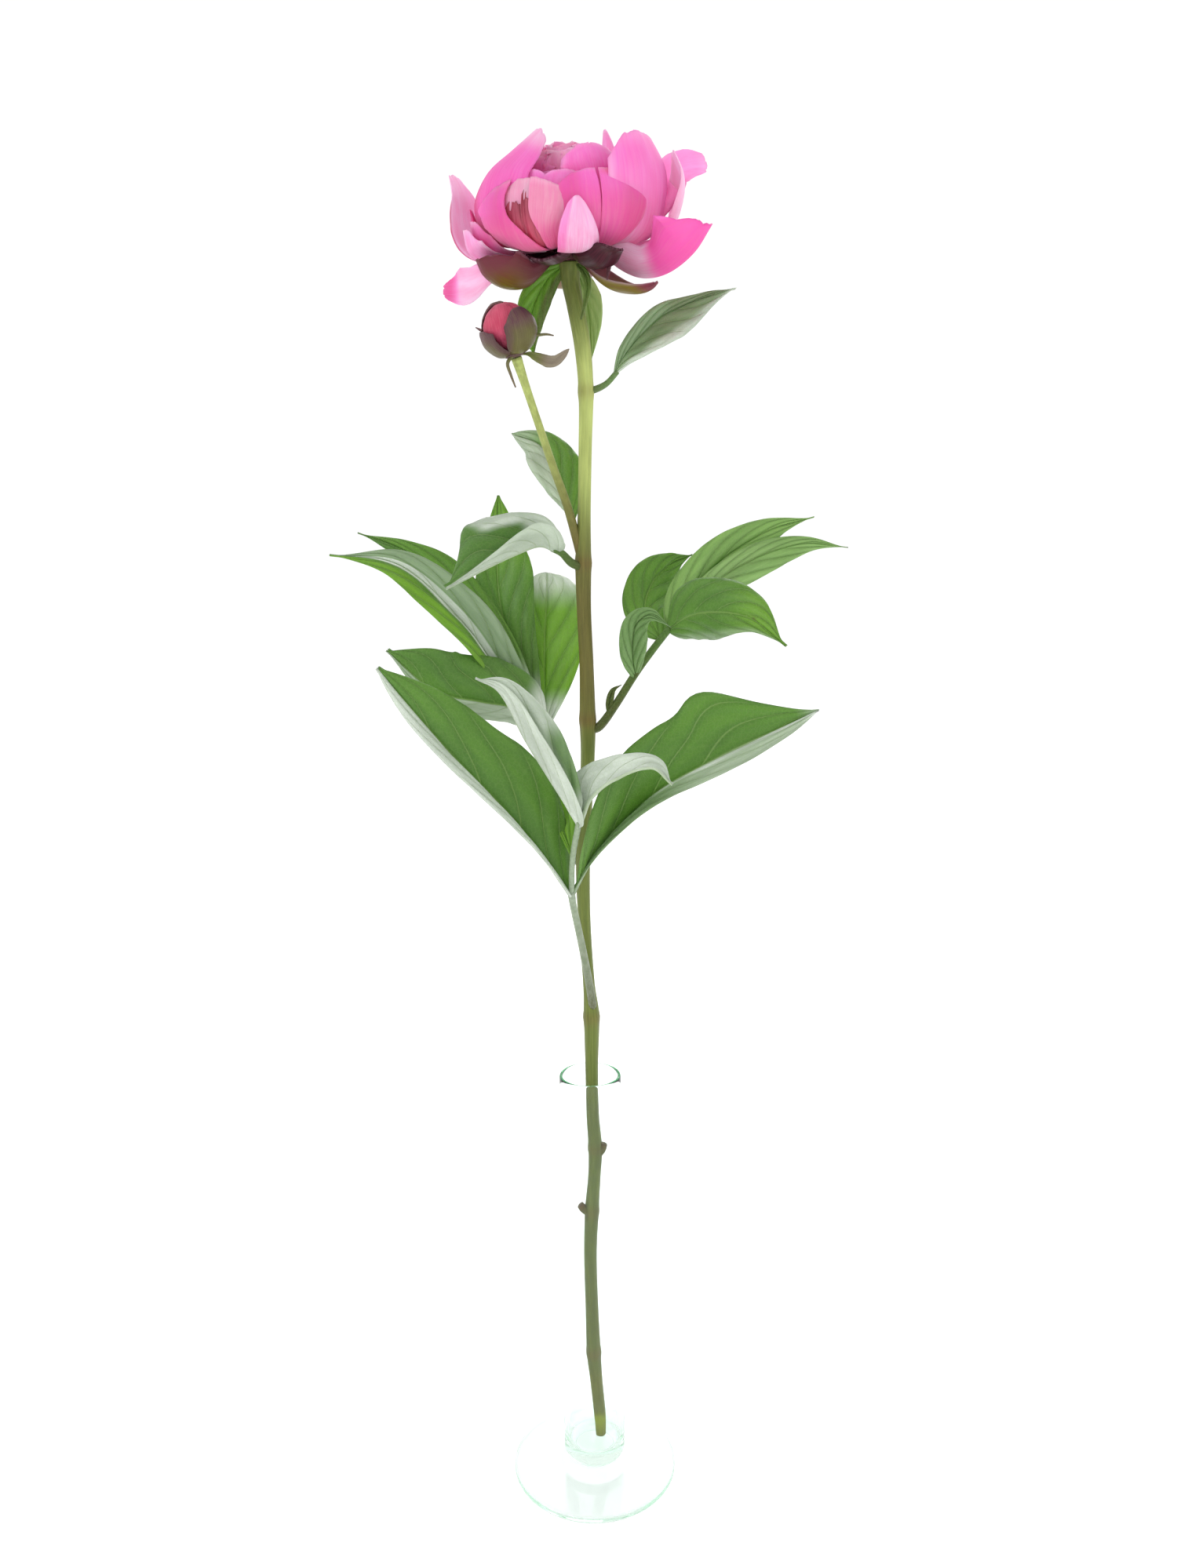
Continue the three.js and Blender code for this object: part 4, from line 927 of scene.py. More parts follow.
leaf_front = [
    tube([
        [1.6, 8, 229, 1.9], [0, 3, 243, 1.8], [-3, -7, 264, 1.6], [-6, -17, 283, 1.5],
        [-7, -22, 292, 1.7],
    ], tone=STALK_TONE),
    tube([[-7, -21, 290, 1.3], [-6, -32, 309, 1.2], [-3, -40, 326, 1.3]], tone=(0.2, 0.5, 0.1)),
    # the broad one on the left
    leaflet(
        [[-7, -22, 290], [-18.6, -26, 308.4], [-34.4, -30, 329.4], [-58, -35, 357], [-83, -38, 389]],
        half=([9, 10, 11, 15, 22], [10, 13, 16, 19, 22, 24, 25, 26, 30, 34, 36]),
        tilt=((98, 98, 86, 56), (-20, -10, -10)), curl=(-12, -14),
        wave=(1, 2.2, 0.1), shape=(0.92, 0.7, 0.95),
        # painted sheen: the lower half's silvery underside is painted near white
        tone=lambda u, v: (0.2 * step(v, 0.1, 0.5), 1 - step(v, -0.06, 0.02), 0),
    ),
    # the broad one on the right
    leaflet(
        [[-7, -22, 290], [5, -26, 311], [27, -30, 334], [54, -28, 349], [98, -18, 368]],
        half=([31, 31, 31, 30, 28, 25, 23, 25, 35, 25, 10], 15),
        tilt=((70, 50, -8, -14), (94, 92, 82, 62)), curl=(-6, -10),
        wave=(1.2, 1.7, 0.55), shape=(1.45, 1, 0.8),
        tone=lambda u, v: (0.15, folded_edge_and_sheen(u, v), 0),
    ),
    # the two small folded ones between them
    leaflet(
        [[-3, -39, 324], [-11, -46, 339], [-23, -50, 360], [-33, -48, 379], [-43, -45, 385]],
        half=(13, [8, 11, 16, 17, 16]), tilt=((112, 122, 128), (30, 30, 40)), curl=(10, -14),
        wave=(0.8, 1.5, 0.2),
        tone=lambda u, v: (0.1, 0.8 - 0.65 * band(u, 0.2, 0.5) * step(v, 0.45, 0.75), 0),
    ),
    leaflet(
        [[-3, -39, 324], [2, -48, 337], [12, -56, 346], [25, -62, 351], [33, -66, 345]],
        half=(11, [14, 13, 9.5, 11, 22]), tilt=((75, 84, 80), (50, 26, 20)), curl=(0, -18),
        wave=(0.8, 1.6, 0), front=BACK, tone=(0, [0.7, 0.85, 0.8, 0.75], 0),
    ),
    # the small one behind, kept narrow so that it doesn't show through the ones before it
    leaflet(
        [[-6, -31, 309], [-13, -16, 326], [-23, -9, 341], [-36, -6, 355]],
        half=(3, 7), tilt=((20, 10, 10), (10, 10, 10)), tone=(1, 0, 0),
    ),
]
piece("leaf_front_look", leaf_front, leaf_skin, "leaf_green", "leaf_front")

# %% [markdown]
# ## The leaf behind it on the left
# Five leaflets stand in a fan. The lowest shows its pale underside, the next two point far to the
# left, one stands upright, and the one nearest the stem has the light behind it and glows.

# %% Back left leaf


def pale_base(u, end):
    """Silvery where the leaflets' bases crowd together."""
    return 0.9 * (1 - step(u, end, end + 0.12))


def painted_sheen_strip(u, v):
    """A painted sheen, near white, runs along the rib, with bright green below and grey green above.
    """
    strip = band(v, -0.2, 0.28, 0.04) * band(u, 0.25, 0.9, 0.1)
    return 0.9 * step(-v, 0.2, 0.5), np.maximum(strip, 0.3 * step(v, 0.2, 0.4)), 0


leaf_back_left = [
    tube([
        [-2, 10, 294, 1.7], [-7, 13, 301, 1.6], [-12, 17, 314, 1.5], [-17, 23, 334, 1.5],
        [-19, 28, 356, 1.6],
    ], tone=STALK_TONE),
    # the lowest
    leaflet(
        [[-19, 28, 355], [-32, 20, 366], [-46, 12, 370], [-66, 4, 376], [-85, -2, 394]],
        half=([10, 12, 12, 12, 12], [20, 20, 20, 20, 21, 21, 22, 27, 35, 50, 60]),
        tilt=((20, 26, 20), -4), curl=((60, 64, 50), -16),
        wave=(1, 1.6, 0.3), shape=(0.85, 0.75, 1.1),
        tone=lambda u, v: (0.1, pale_base(u, 0.14) + (v < 0) * (0.75 - 0.35 * u), 0),
    ),
    # the two that point far to the left, the first with a painted sheen along its rib
    leaflet(
        [[-19, 28, 355], [-38, 24, 381], [-55, 18, 406], [-80, 14, 430], [-110, 10, 435]],
        half=([8, 9, 13, 20, 24], [9, 12, 14, 14.5, 14]), tilt=((84, 70, 40), 12),
        curl=(-16, -16), wave=(0.9, 2.1, 0.7), tone=painted_sheen_strip,
    ),
    leaflet(
        [[-19, 30, 355], [-36, 40, 394], [-62, 45, 424], [-84, 48, 438], [-105, 50, 446]],
        half=(11, [4, 5, 9, 10, 12]), tilt=((30, 30, 30), -6), curl=(-10, -10),
        wave=(1, 2.4, 0.2),
        tone=lambda u, v: (0.3 * step(v, -0.2, 0.3), pale_base(u, 0.1), 0),
    ),
    # the upright one
    leaflet(
        [[-19, 31, 355], [-30, 42, 384], [-39, 50, 410], [-41, 56, 433], [-40, 60, 463]],
        half=(12, [9, 12, 16, 22, 24]), tilt=((20, 14, 10), 14), curl=(-10, -14),
        wave=(0.8, 2, 0.5), shape=(0.95, 0.9, 0.9),
        tone=lambda u, v: (0.15 + 0.5 * step(u, 0.6, 0.9), pale_base(u, 0.1), 0),
    ),
    # the glowing one nearest the stem
    leaflet(
        [[-18, 30, 354], [-19, 42, 376], [-19, 53, 398], [-18, 62, 416], [-18, 70, 427]],
        half=(14, 20), tilt=(8, 6), curl=(10, 10), wave=(0.7, 1.3, 0.1), shape=(1.1, 0.9, 0.55),
        tone=lambda u, v: (1, pale_base(u, 0.1) + 0.95 * step(u, 0.62, 0.88), 0),
    ),
]
piece("leaf_back_left_look", leaf_back_left, leaf_skin, "leaf_green", "leaf_back_left")

# %% [markdown]
# ## The leaf on the right
# It is held out on a purple brown stalk with a small shoot in the angle that it makes with the
# stem. Two leaflets arch over towards the viewer. Two at the back are cut so deep that they look
# like one with two tips, and one more stands behind them.

# %% Right leaf


def spotted(u, v):
    """Yellower towards the tip, greyer at the right edge, and one brown spot beside the rib."""
    spot = np.exp(-(((u - 0.77) / 0.012) ** 2) - (((v + 0.06) / 0.05) ** 2))
    return 0.1 + 0.5 * step(u, 0.5, 0.8), 0.25 * step(v, 0.5, 0.9), 0.9 * spot


leaf_right = [
    tube([
        [1, 8, 358, 1.9], [6, 8, 359, 2], [13, 8, 368, 1.8], [22, 7, 382, 1.7], [30, 6, 393, 1.6],
        [37, 4, 402, 1.5],
    ], tone=(0, 0, [1, 0.9, 0.5, 0.1])),
    # the two that arch over
    leaflet(
        [[22, 7, 381], [20.4, -1, 392], [21.6, -9, 403.4], [27.6, -14, 408], [36, -17, 403]],
        half=(6.6, 6.6), tilt=((40, 30, 10), (10, 20, 20)), curl=(-10, 0), wave=(0.5, 1.4, 0.2),
        tone=(0.2, 0.1, 0),
    ),
    leaflet(
        [[36, 5, 401], [44, -8, 407], [54, -20, 409], [67, -32, 406.5], [79, -45, 396]],
        half=([16, 16, 15.4, 20, 28], 12), tilt=((-20, -6, 0), (20, 0, 10)), curl=(-26, -20),
        wave=(1, 2, 0.6), tone=spotted,
    ),
    # the two that look like one with two tips
    leaflet(
        [[36, 5, 401], [46, 15, 415], [62, 25, 431], [84, 33, 444], [105, 38, 450]],
        half=([11, 11, 11, 12, 12], 11), tilt=(10, 16), curl=(-12, -12), wave=(0.8, 2, 0.3),
        tone=(0.8, 0.12, 0),
    ),
    leaflet(
        [[40, 9, 406], [59, 20, 422], [80, 27, 433], [100, 30, 438], [119, 30, 436]],
        half=(6.4, 9), tilt=(14, 10), curl=(-10, -10), wave=(0.6, 1.8, 0.8), tone=(0.75, 0.15, 0),
    ),
    # the one behind them
    leaflet(
        [[33, 7, 397], [27, 18, 410], [31, 28, 422], [40, 36, 430], [50, 42, 434]],
        half=(11, 13), tilt=(16, 0), curl=(-14, -10), tone=(0.35, 0, 0),
    ),
    # the shoot
    leaflet(
        [[10, 8, 365], [10.6, 7.4, 370], [12.2, 7, 375], [16, 6.6, 377.4]],
        half=1.9, tilt=(30, 30), rows=16, columns=8, tone=(0.2, 0, 0.8),
    ),
]
piece("leaf_right_look", leaf_right, leaf_skin, "leaf_green", "leaf_right")

# %% [markdown]
# ## The single leaflets
# Higher up the leaves are simple. The one on the left hangs forward with its upper half folded
# over, a small one stands behind the bud's branch, and one on the right is closed like a boat.

# %% Left, upper left and upper right leaves


def silver_patches(u, v):
    """The base, the rolled top edge and a band along the rib are silvery."""
    patches = (0.75 * (1 - step(u, 0.3, 0.4)), 0.8 * band(u, 0.3, 0.62) * step(v, 0.55, 0.72),
               0.7 * (1 - step(v, 0.1, 0.18)))
    return np.maximum.reduce(patches)


def greyed_with_sheen(u, v):
    """Grey green, paler at the lower edge as painted sheen, and dusky on the outer part of the upper
    half.
    """
    pale = np.where(v < 0, 0.28, 0.25 + 0.5 * step(v, 0.55, 0.85))
    return 0.1, pale, 0.4 * step(u, 0.5, 0.62) * (v < -0.05)


leaf_left = [
    tube([[0, 4.2, 428, 1.9], [-5, 0, 430, 1.8], [-9, -4, 434, 1.5], [-13, -8, 436, 1.4]],
         tone=(0, 0, [1, 0.5, 0.2])),
    leaflet(
        [[-11, -6, 435], [-18, -16, 437], [-26, -27, 434], [-36, -38, 429], [-53, -50, 420]],
        half=([14, 14, 11, 8, 8], [13, 15, 20, 30, 30]),
        tilt=((96, 112, 120, 110), (20, 4, -16, -30)), curl=(24, -30),
        wave=(1.4, 1.6, 0.4), shape=(0.85, 0.6, 1.1, 0.07), rows=72, columns=44,
        tone=lambda u, v: (0, np.where(v < 0, 0.55, silver_patches(u, v)), 0),
    ),
]
piece("leaf_left_look", leaf_left, leaf_skin, "leaf_green", "leaf_left")

leaf_upper_left = [
    tube([[0, 4.4, 436, 1.6], [-3, 9, 443, 1.3], [-5, 13, 451, 1.2]], tone=(0, 0, 0.6)),
    leaflet(
        [[-4, 11, 448], [-7, 17, 460], [-12, 26, 473], [-19, 36, 483], [-32, 45, 489]],
        half=(11, [13, 13, 11, 9, 8]), tilt=((20, 24, 24), (-10, 0, 10)), curl=(-14, -14),
        wave=(0.6, 1.6, 0.3), shape=(1.1, 0.9, 0.9),
        tone=lambda u, v: (0.3, 0.6 * (v < 0) + 0.4 * step(u, 0.7, 0.9) * (v >= 0), 0),
    ),
]
piece("leaf_upper_left_look", leaf_upper_left, leaf_skin, "leaf_green", "leaf_upper_left")

leaf_upper_right = [
    tube([[1.6, 1.8, 500, 1.6], [7, 1, 501.4, 1.4], [11, 1, 503.6, 1.2], [15, 2, 508, 1.1]],
         tone=(0.2, 0.1, [0.8, 0.3, 0.1])),
    leaflet(
        [[13, 1.6, 505.6], [20, 3, 517], [33, 6, 530], [48, 8, 537], [65, 10, 542.4]],
        half=([6, 6, 5.4, 4, 8], [10, 13, 15, 15, 14]), tilt=((20, 34, 20), (58, 40, 50)),
        curl=(-10, -16), wave=(0.8, 1.7, 0.15), shape=(0.95, 1.1, 1.2), tone=greyed_with_sheen,
    ),
]
piece("leaf_upper_right_look", leaf_upper_right, leaf_skin, "leaf_green", "leaf_upper_right")

# %% [markdown]
# ## Bracts
# Three narrow leaves with no stalk stand close under the bloom. They are brighter than the rest,
# and the left one's edge is rolled back and brown.

# %% Bracts
bract_skin = tissue(
    "bract_skin",
    colours=[screen(150, 190, 90), screen(84, 134, 46), screen(180, 206, 120)],
    upper=[(0, screen(124, 164, 70)), (1, screen(110, 156, 56))],
    lower=[(0, screen(168, 196, 104)), (1, screen(150, 186, 88))],
    warm=screen(128, 190, 40), pale=screen(196, 212, 150), dark=screen(88, 62, 48),
    roughness=0.34, through=0.3, glow=screen(150, 220, 0), veined=True, fineness=20.0,
    contrast=0.25, bump=0.4, gloss=0.35,
)


def bract(name, rib, half, tilt, curl, shape, tone):
    """A leaf with no stalk, as the piece for its own node."""
    blade = sheet(
        rib, half, leaf_outline(*shape), LEAF_THICKNESS, 48, 24, tilt, curl,
        relief=quilting, ridge=0.5, ragged=0.02, tone=tone,
    )
    piece(f"{name}_look", [blade], bract_skin, "bract_green", name)


bract(
    "bract_left",
    [[-6, -0.6, 550], [-13.6, 0.6, 544], [-19.4, 1.4, 534], [-20.8, 2, 524], [-19.4, 2, 515]],
    half=(6.4, 6.6), tilt=(10, 20), curl=(-20, -30), shape=(0.9, 0.6, 1.1),
    tone=lambda u, v: (0.5, 0, 0.9 * step(-v, 0.3, 0.55)),
)
bract(
    "bract_strap", [[-1, -4, 549], [2.2, -8, 544], [2.9, -10, 537], [0.2, -11.4, 526]],
    half=1.7, tilt=(14, 14), curl=(0, 0), shape=(0.8, 0.5, 0.8, 0.3),
    tone=lambda u, v: (0, 0.3, 0.2 + 0.6 * step(u, 0.6, 1)),
)
bract(
    "bract_back", [[-2, 3, 549.5], [1.4, 7.6, 542], [3.6, 8.6, 531], [4.4, 8, 514]],
    half=(6.4, 6.4), tilt=(6, 6), curl=(-10, -10), shape=(1, 0.7, 1),
    tone=lambda u, v: (0.3, 0.7, 0),
)

# %% [markdown]
# ## Petals and sepals
# A petal stands in a plane at some angle round the flower's axis. Its midline is given there by
# its distance from the axis and its height, with the half-widths to either side at the same
# points, so a petal may be broader on one side. Torn and slit petals are made of strips: each
# strip is the same sheet, but covers only a part of the way across, so that they still fit.

# %% The petal


def petal(flower, angle, profile, widths, curl=30, tilt=(0, 0), crown=0.2, thickness=0.45,
          rows=44, columns=40, **more):
    """A petal or sepal whose midline is [distance, height] in the plane at angle.

    widths is a list of half-widths at the midline's points, or a pair of lists: first the side
    that lies at larger angles, which is the viewer's right for a petal in front, then the other.
    """
    turn = np.radians(angle)
    distance, height = np.asarray(profile, float).T
    rib = placed(flower, np.stack([distance * np.cos(turn), distance * np.sin(turn), height], -1))
    across = flower[0] @ np.array([np.sin(turn), -np.cos(turn), 0])
    halves = widths if isinstance(widths, tuple) else (widths, widths)
    curls = curl if isinstance(curl, tuple) else (curl, curl)
    return sheet(rib, halves, lambda u: 1.0, thickness, rows, columns, tilt, curls,
                 across=across, crown=crown, **more)


def set_in(flower, body):
    """A turned body moved to a flower's frame."""
    body["points"] = placed(flower, body["points"])
    return body


def shaded(warm=0, pale=0, dark=0, edge=0.3):
    """Tones from base to tip, each one value or a list, with paler edges."""
    return lambda u, v: (
        np.clip(along(warm, u), 0, 1),
        np.clip(along(pale, u) + edge * (step(np.abs(v), 0.8, 1) + step(u, 0.9, 1)), 0, 1),
        np.clip(along(dark, u), 0, 1),
    )


print("a petal's seat on the bloom's axis is at", placed(BLOOM, [0, 0, 7]).round(1))

# %% [markdown]
# ## The calyx
# Under the bloom sit five sepals, thick and dished like shells. They are maroon to almost black,
# and olive in their middles, with a thin pale rim. One is drawn out to a narrow point, and a small
# awl hangs beside it.

# %% Sepal material and calyx
sepal_skin = tissue(
    "sepal_skin",
    colours=[screen(140, 70, 76), screen(60, 24, 36)],
    upper=[(0, screen(150, 100, 100)), (1, screen(170, 120, 130))],
    lower=[(0, screen(54, 34, 48)), (0.3, screen(106, 42, 54)), (1, screen(118, 48, 64))],
    warm=screen(112, 108, 0), pale=screen(206, 178, 190), dark=screen(38, 8, 26),
    roughness=0.3, through=0.05, glow=screen(170, 90, 60), fineness=30.0, contrast=0.12, bump=0.2,
    gloss=0.15,
)


def sepal(angle, profile, widths, curl, tilt=(0, 0), crown=0.2, tone=None, **more):
    return petal(BLOOM, angle, profile, widths, curl, tilt, crown, thickness=0.9,
                 rows=36, columns=36, ragged=0.015, tone=tone, **more)


def olive(amount, at, spread, side=0.0, dark=0.0):
    """Olive round a place on the shell, darker elsewhere, and pale at its very rim."""
    def tones(u, v):
        green = amount * np.exp(-(((u - at) / spread) ** 2) - ((v - side) / 0.6) ** 2)
        return green, 0.5 * step(np.abs(v), 0.93, 1), dark * (1 - green)
    return tones


def dark_shell(u, v):
    """Nearly black, with a pale tip and rim on its right side."""
    tip = 0.7 * step(u, 0.7, 0.9) * step(-v, 0.0, 0.5)
    return 0, tip + 0.3 * step(-v, 0.8, 1), 0.9


calyx = [
    set_in(BLOOM, turned([[0, 0], [4.6, 0], [8, 1.2], [10, 3.4], [8, 5], [0, 5]], 32, (0, 0, 0.8))),
    sepal(
        -147, [[6, 2.4], [13, -4], [21, -9.4], [30, -10], [38, -6], [42, 0.6]],
        widths=([4, 9, 14, 16.6, 16, 12.6], [4, 8, 11, 13, 12, 9]),
        curl=([30, 56, 74, 80, 76, 60], 60), tilt=(12, 0), crown=0.14,
        tone=olive(1.0, 0.62, 0.2, side=0.1, dark=0.3),
    ),
    sepal(
        -66, [[6, 2.4], [13, -1.6], [22, -4.6], [32, -4.4], [40, -0.6], [47, -0.4]],
        widths=([4, 7, 7, 6, 5, 2.6], [4, 8, 10, 9.4, 7, 2.6]),
        curl=(20, [40, 66, 76, 70, 50, 20]), tilt=(0, 8), tone=dark_shell,
    ),
    sepal(
        -44, [[6, 2], [14, -6], [24, -12.4], [34, -14.6], [41, -14], [46.6, -11.4]],
        widths=([3, 7, 9, 8, 4.4, 0.6], [3, 8, 10, 8.4, 5, 0.6]), curl=(34, 56), crown=0.1,
        notches=((0.5, 0.12, 0.1),),
        tone=lambda u, v: (0.8 * band(u, 0.3, 0.78, 0.1), 0.5 * step(np.abs(v), 0.88, 1), 0),
    ),
    sepal(
        -113, [[6, 2.4], [13, -0.6], [20, -2.2], [27, -1]], widths=[4, 9, 11, 9], curl=46,
        tone=lambda u, v: (0, 0.5 * step(u, 0.8, 1), 0.9),
    ),
    sepal(
        95, [[6, 2.6], [17, -3], [30, -8], [39, -6], [44, 0]], widths=[4, 10, 13, 12, 7], curl=40,
        tone=olive(0.7, 0.5, 0.3),
    ),
    tube([[9, -19, 549, 1.5], [11.4, -24.4, 545, 1.2], [10.6, -26.4, 537.4, 0.3]], sides=12,
         tone=(0.2, 0, [0.6, 0.9])),
]
piece("bloom_calyx_look", calyx, sepal_skin, "sepal_maroon", "bloom_calyx")

# %% [markdown]
# ## Petal material
# The outer face is pink, dusky rose at its base and lighter at its edge. The inner face is a pale
# lilac pink. The light goes well through both. Some petals have weathered to salmon, and in the
# folds the pink is deep: these are the painted tones. On two small petals low in the bowl the deep
# tone is also painted shade. Torn tissue has dried to a red brown.

# %% Petal material
PETAL_STOPS = [
    (0, screen(204, 92, 118)), (0.3, screen(234, 104, 172)), (0.5, screen(246, 112, 204)),
    (1, screen(253, 138, 230)),
]
INNER_STOPS = [(0, screen(236, 156, 196)), (0.4, screen(250, 170, 232)), (1, screen(254, 188, 244))]
petal_skin = tissue(
    "petal_skin",
    colours=[screen(254, 176, 230), screen(240, 64, 164)],
    upper=INNER_STOPS, lower=PETAL_STOPS,
    warm=screen(236, 132, 142), pale=screen(254, 240, 252), dark=screen(214, 4, 116),
    roughness=0.5, through=0.4, glow=screen(255, 70, 190), fineness=56.0, contrast=0.26, bump=0.22,
    sheen=0.25, gloss=0.25,
)
withered_skin = tissue(
    "withered_skin",
    colours=[screen(226, 120, 140), screen(170, 30, 80)],
    upper=[(0, screen(190, 60, 94)), (1, screen(170, 50, 80))],
    lower=[(0, screen(206, 84, 110)), (0.55, screen(206, 80, 108)), (1, screen(150, 64, 76))],
    warm=screen(216, 120, 124), pale=screen(244, 190, 200), dark=screen(134, 44, 66),
    roughness=0.5, through=0.2, glow=screen(240, 40, 90), fineness=22.0, contrast=0.4, bump=0.4,
)

# %% [markdown]
# ## The bloom
# The flower is a bowl. Two broad petals in front close it, the left one torn and the right one
# slit, with a small pale one between them. Two tall ones stand behind these, others spread to the
# sides, one rolls its tip outwards, one lies below like a boat and one hangs.

# %% Bloom petals in front
# how much a front petal curls, in degrees, from base to tip
BOWL = [10, 16, 26, 36, 40, 38, 34]
FRONT_LEFT = {
    "angle": -118,
    "profile": [[7, 7], [18, 3.2], [29, 2.6], [36.6, 7], [38.8, 14], [37.8, 21], [35, 27]],
    "widths": ([4, 8, 12, 15.5, 18, 19.5, 17], [4, 10, 15, 20, 23, 25, 22]),
    "curl": BOWL,
    "crown": (0.12, 0.17),
}
FRONT_RIGHT = {
    "angle": -70,
    "profile": [[7, 7], [18, 3.4], [29, 2.6], [36, 8], [38.4, 16], [37.4, 23], [34, 29]],
    "widths": ([4, 8, 13, 20, 23.5, 24.5, 22], [4, 8, 13, 17, 18.5, 18.5, 16.5]),
    "curl": BOWL,
    "crown": (0.31, 0.12),
}


def pink_lobe(u, v):
    """Salmon below, with a pale top edge towards the tear and a deep pink fold."""
    warm = 0.5 * (1 - step(u, 0.5, 0.8))
    pale = 0.5 * step(u, 0.9, 1) * (1 - step(v, 0.5, 0.8))
    return warm, pale, 0.5 * step(u, 0.35, 0.7) * np.exp(-(((v - 0.45) / 0.4) ** 2))


def slit_tone(u, v):
    """Rosy below, clear pink above, with a peach patch at the top beside the slit."""
    peach = 0.8 * step(u, 0.9, 0.97) * np.exp(-(((v + 0.28) / 0.22) ** 2))
    return (np.clip(0.4 * (1 - step(u, 0.6, 0.95)) + peach, 0, 1),
            0.1 * step(np.abs(v), 0.85, 1) + 0.25 * step(u, 0.96, 1),
            0.45 * step(np.abs(v), 0.25, 0.6) * (1 - step(np.abs(v), 0.85, 1)))


bloom_petals = [
    # the torn one: a salmon lobe on the right and a pink one on the left
    petal(
        BLOOM, **FRONT_LEFT, span=(-1, (-0.5, -0.5, -0.5, -0.45, -0.25, -0.22, -0.22)), ragged=0.02,
        tone=shaded(warm=[0.3, 0.3, 0.5, 0.6, 0.7, 0.7, 0.6], pale=[0, 0, 0, 0.1, 0.3, 0.35, 0.35],
                    dark=[0.4, 0.4, 0.3, 0.1, 0, 0, 0]),
    ),
    petal(
        BLOOM, **FRONT_LEFT, span=((-0.5, -0.45, -0.35, -0.1, 0.22, 0.27, 0.22), 1), ragged=0.02,
        tone=pink_lobe,
    ),
    # a faded one shows in the tear's top
    petal(
        BLOOM, -120, [[7, 8], [18, 5], [28, 5], [34, 9], [36.4, 15], [35.8, 22], [33.4, 27]],
        widths=[3, 6, 8, 9, 9, 9, 8], curl=14, crown=0.05, ragged=0.02,
        tone=shaded(warm=0.7, pale=0.55, edge=0),
    ),
    # the slit one: two halves that meet in the slit
    petal(
        BLOOM, **FRONT_RIGHT, span=(-1, (0.06, 0.05, 0.03, 0.01, -0.005, -0.015, -0.035)),
        lift=-0.2, ragged=0.012, tone=slit_tone,
    ),
    petal(
        BLOOM, **FRONT_RIGHT, span=((-0.06, -0.05, -0.03, -0.01, 0.005, 0.012, 0.03), 1),
        lift=0.2, ragged=0.012, tone=slit_tone,
    ),
    # the small pale one between them, with its left side folded
    petal(
        BLOOM, -84, [[8, 5.6], [22, 1.4], [34, 1.2], [39.8, 5], [41, 11], [40.4, 19]],
        widths=([5, 7, 7.5, 7.6, 5.8, 1.4], [5, 7, 7.8, 8, 6.6, 2.6]), curl=[4, 8, 10, 14, 12, 6],
        crown=0.06, tone=lambda u, v: (0, 0.75 - 0.45 * step(v, 0.45, 0.7), 0),
    ),
]
print("the front of the bowl has", len(bloom_petals), "sheets")

# %% Bloom petals behind and beside
SIDE_WAVE = 1.7

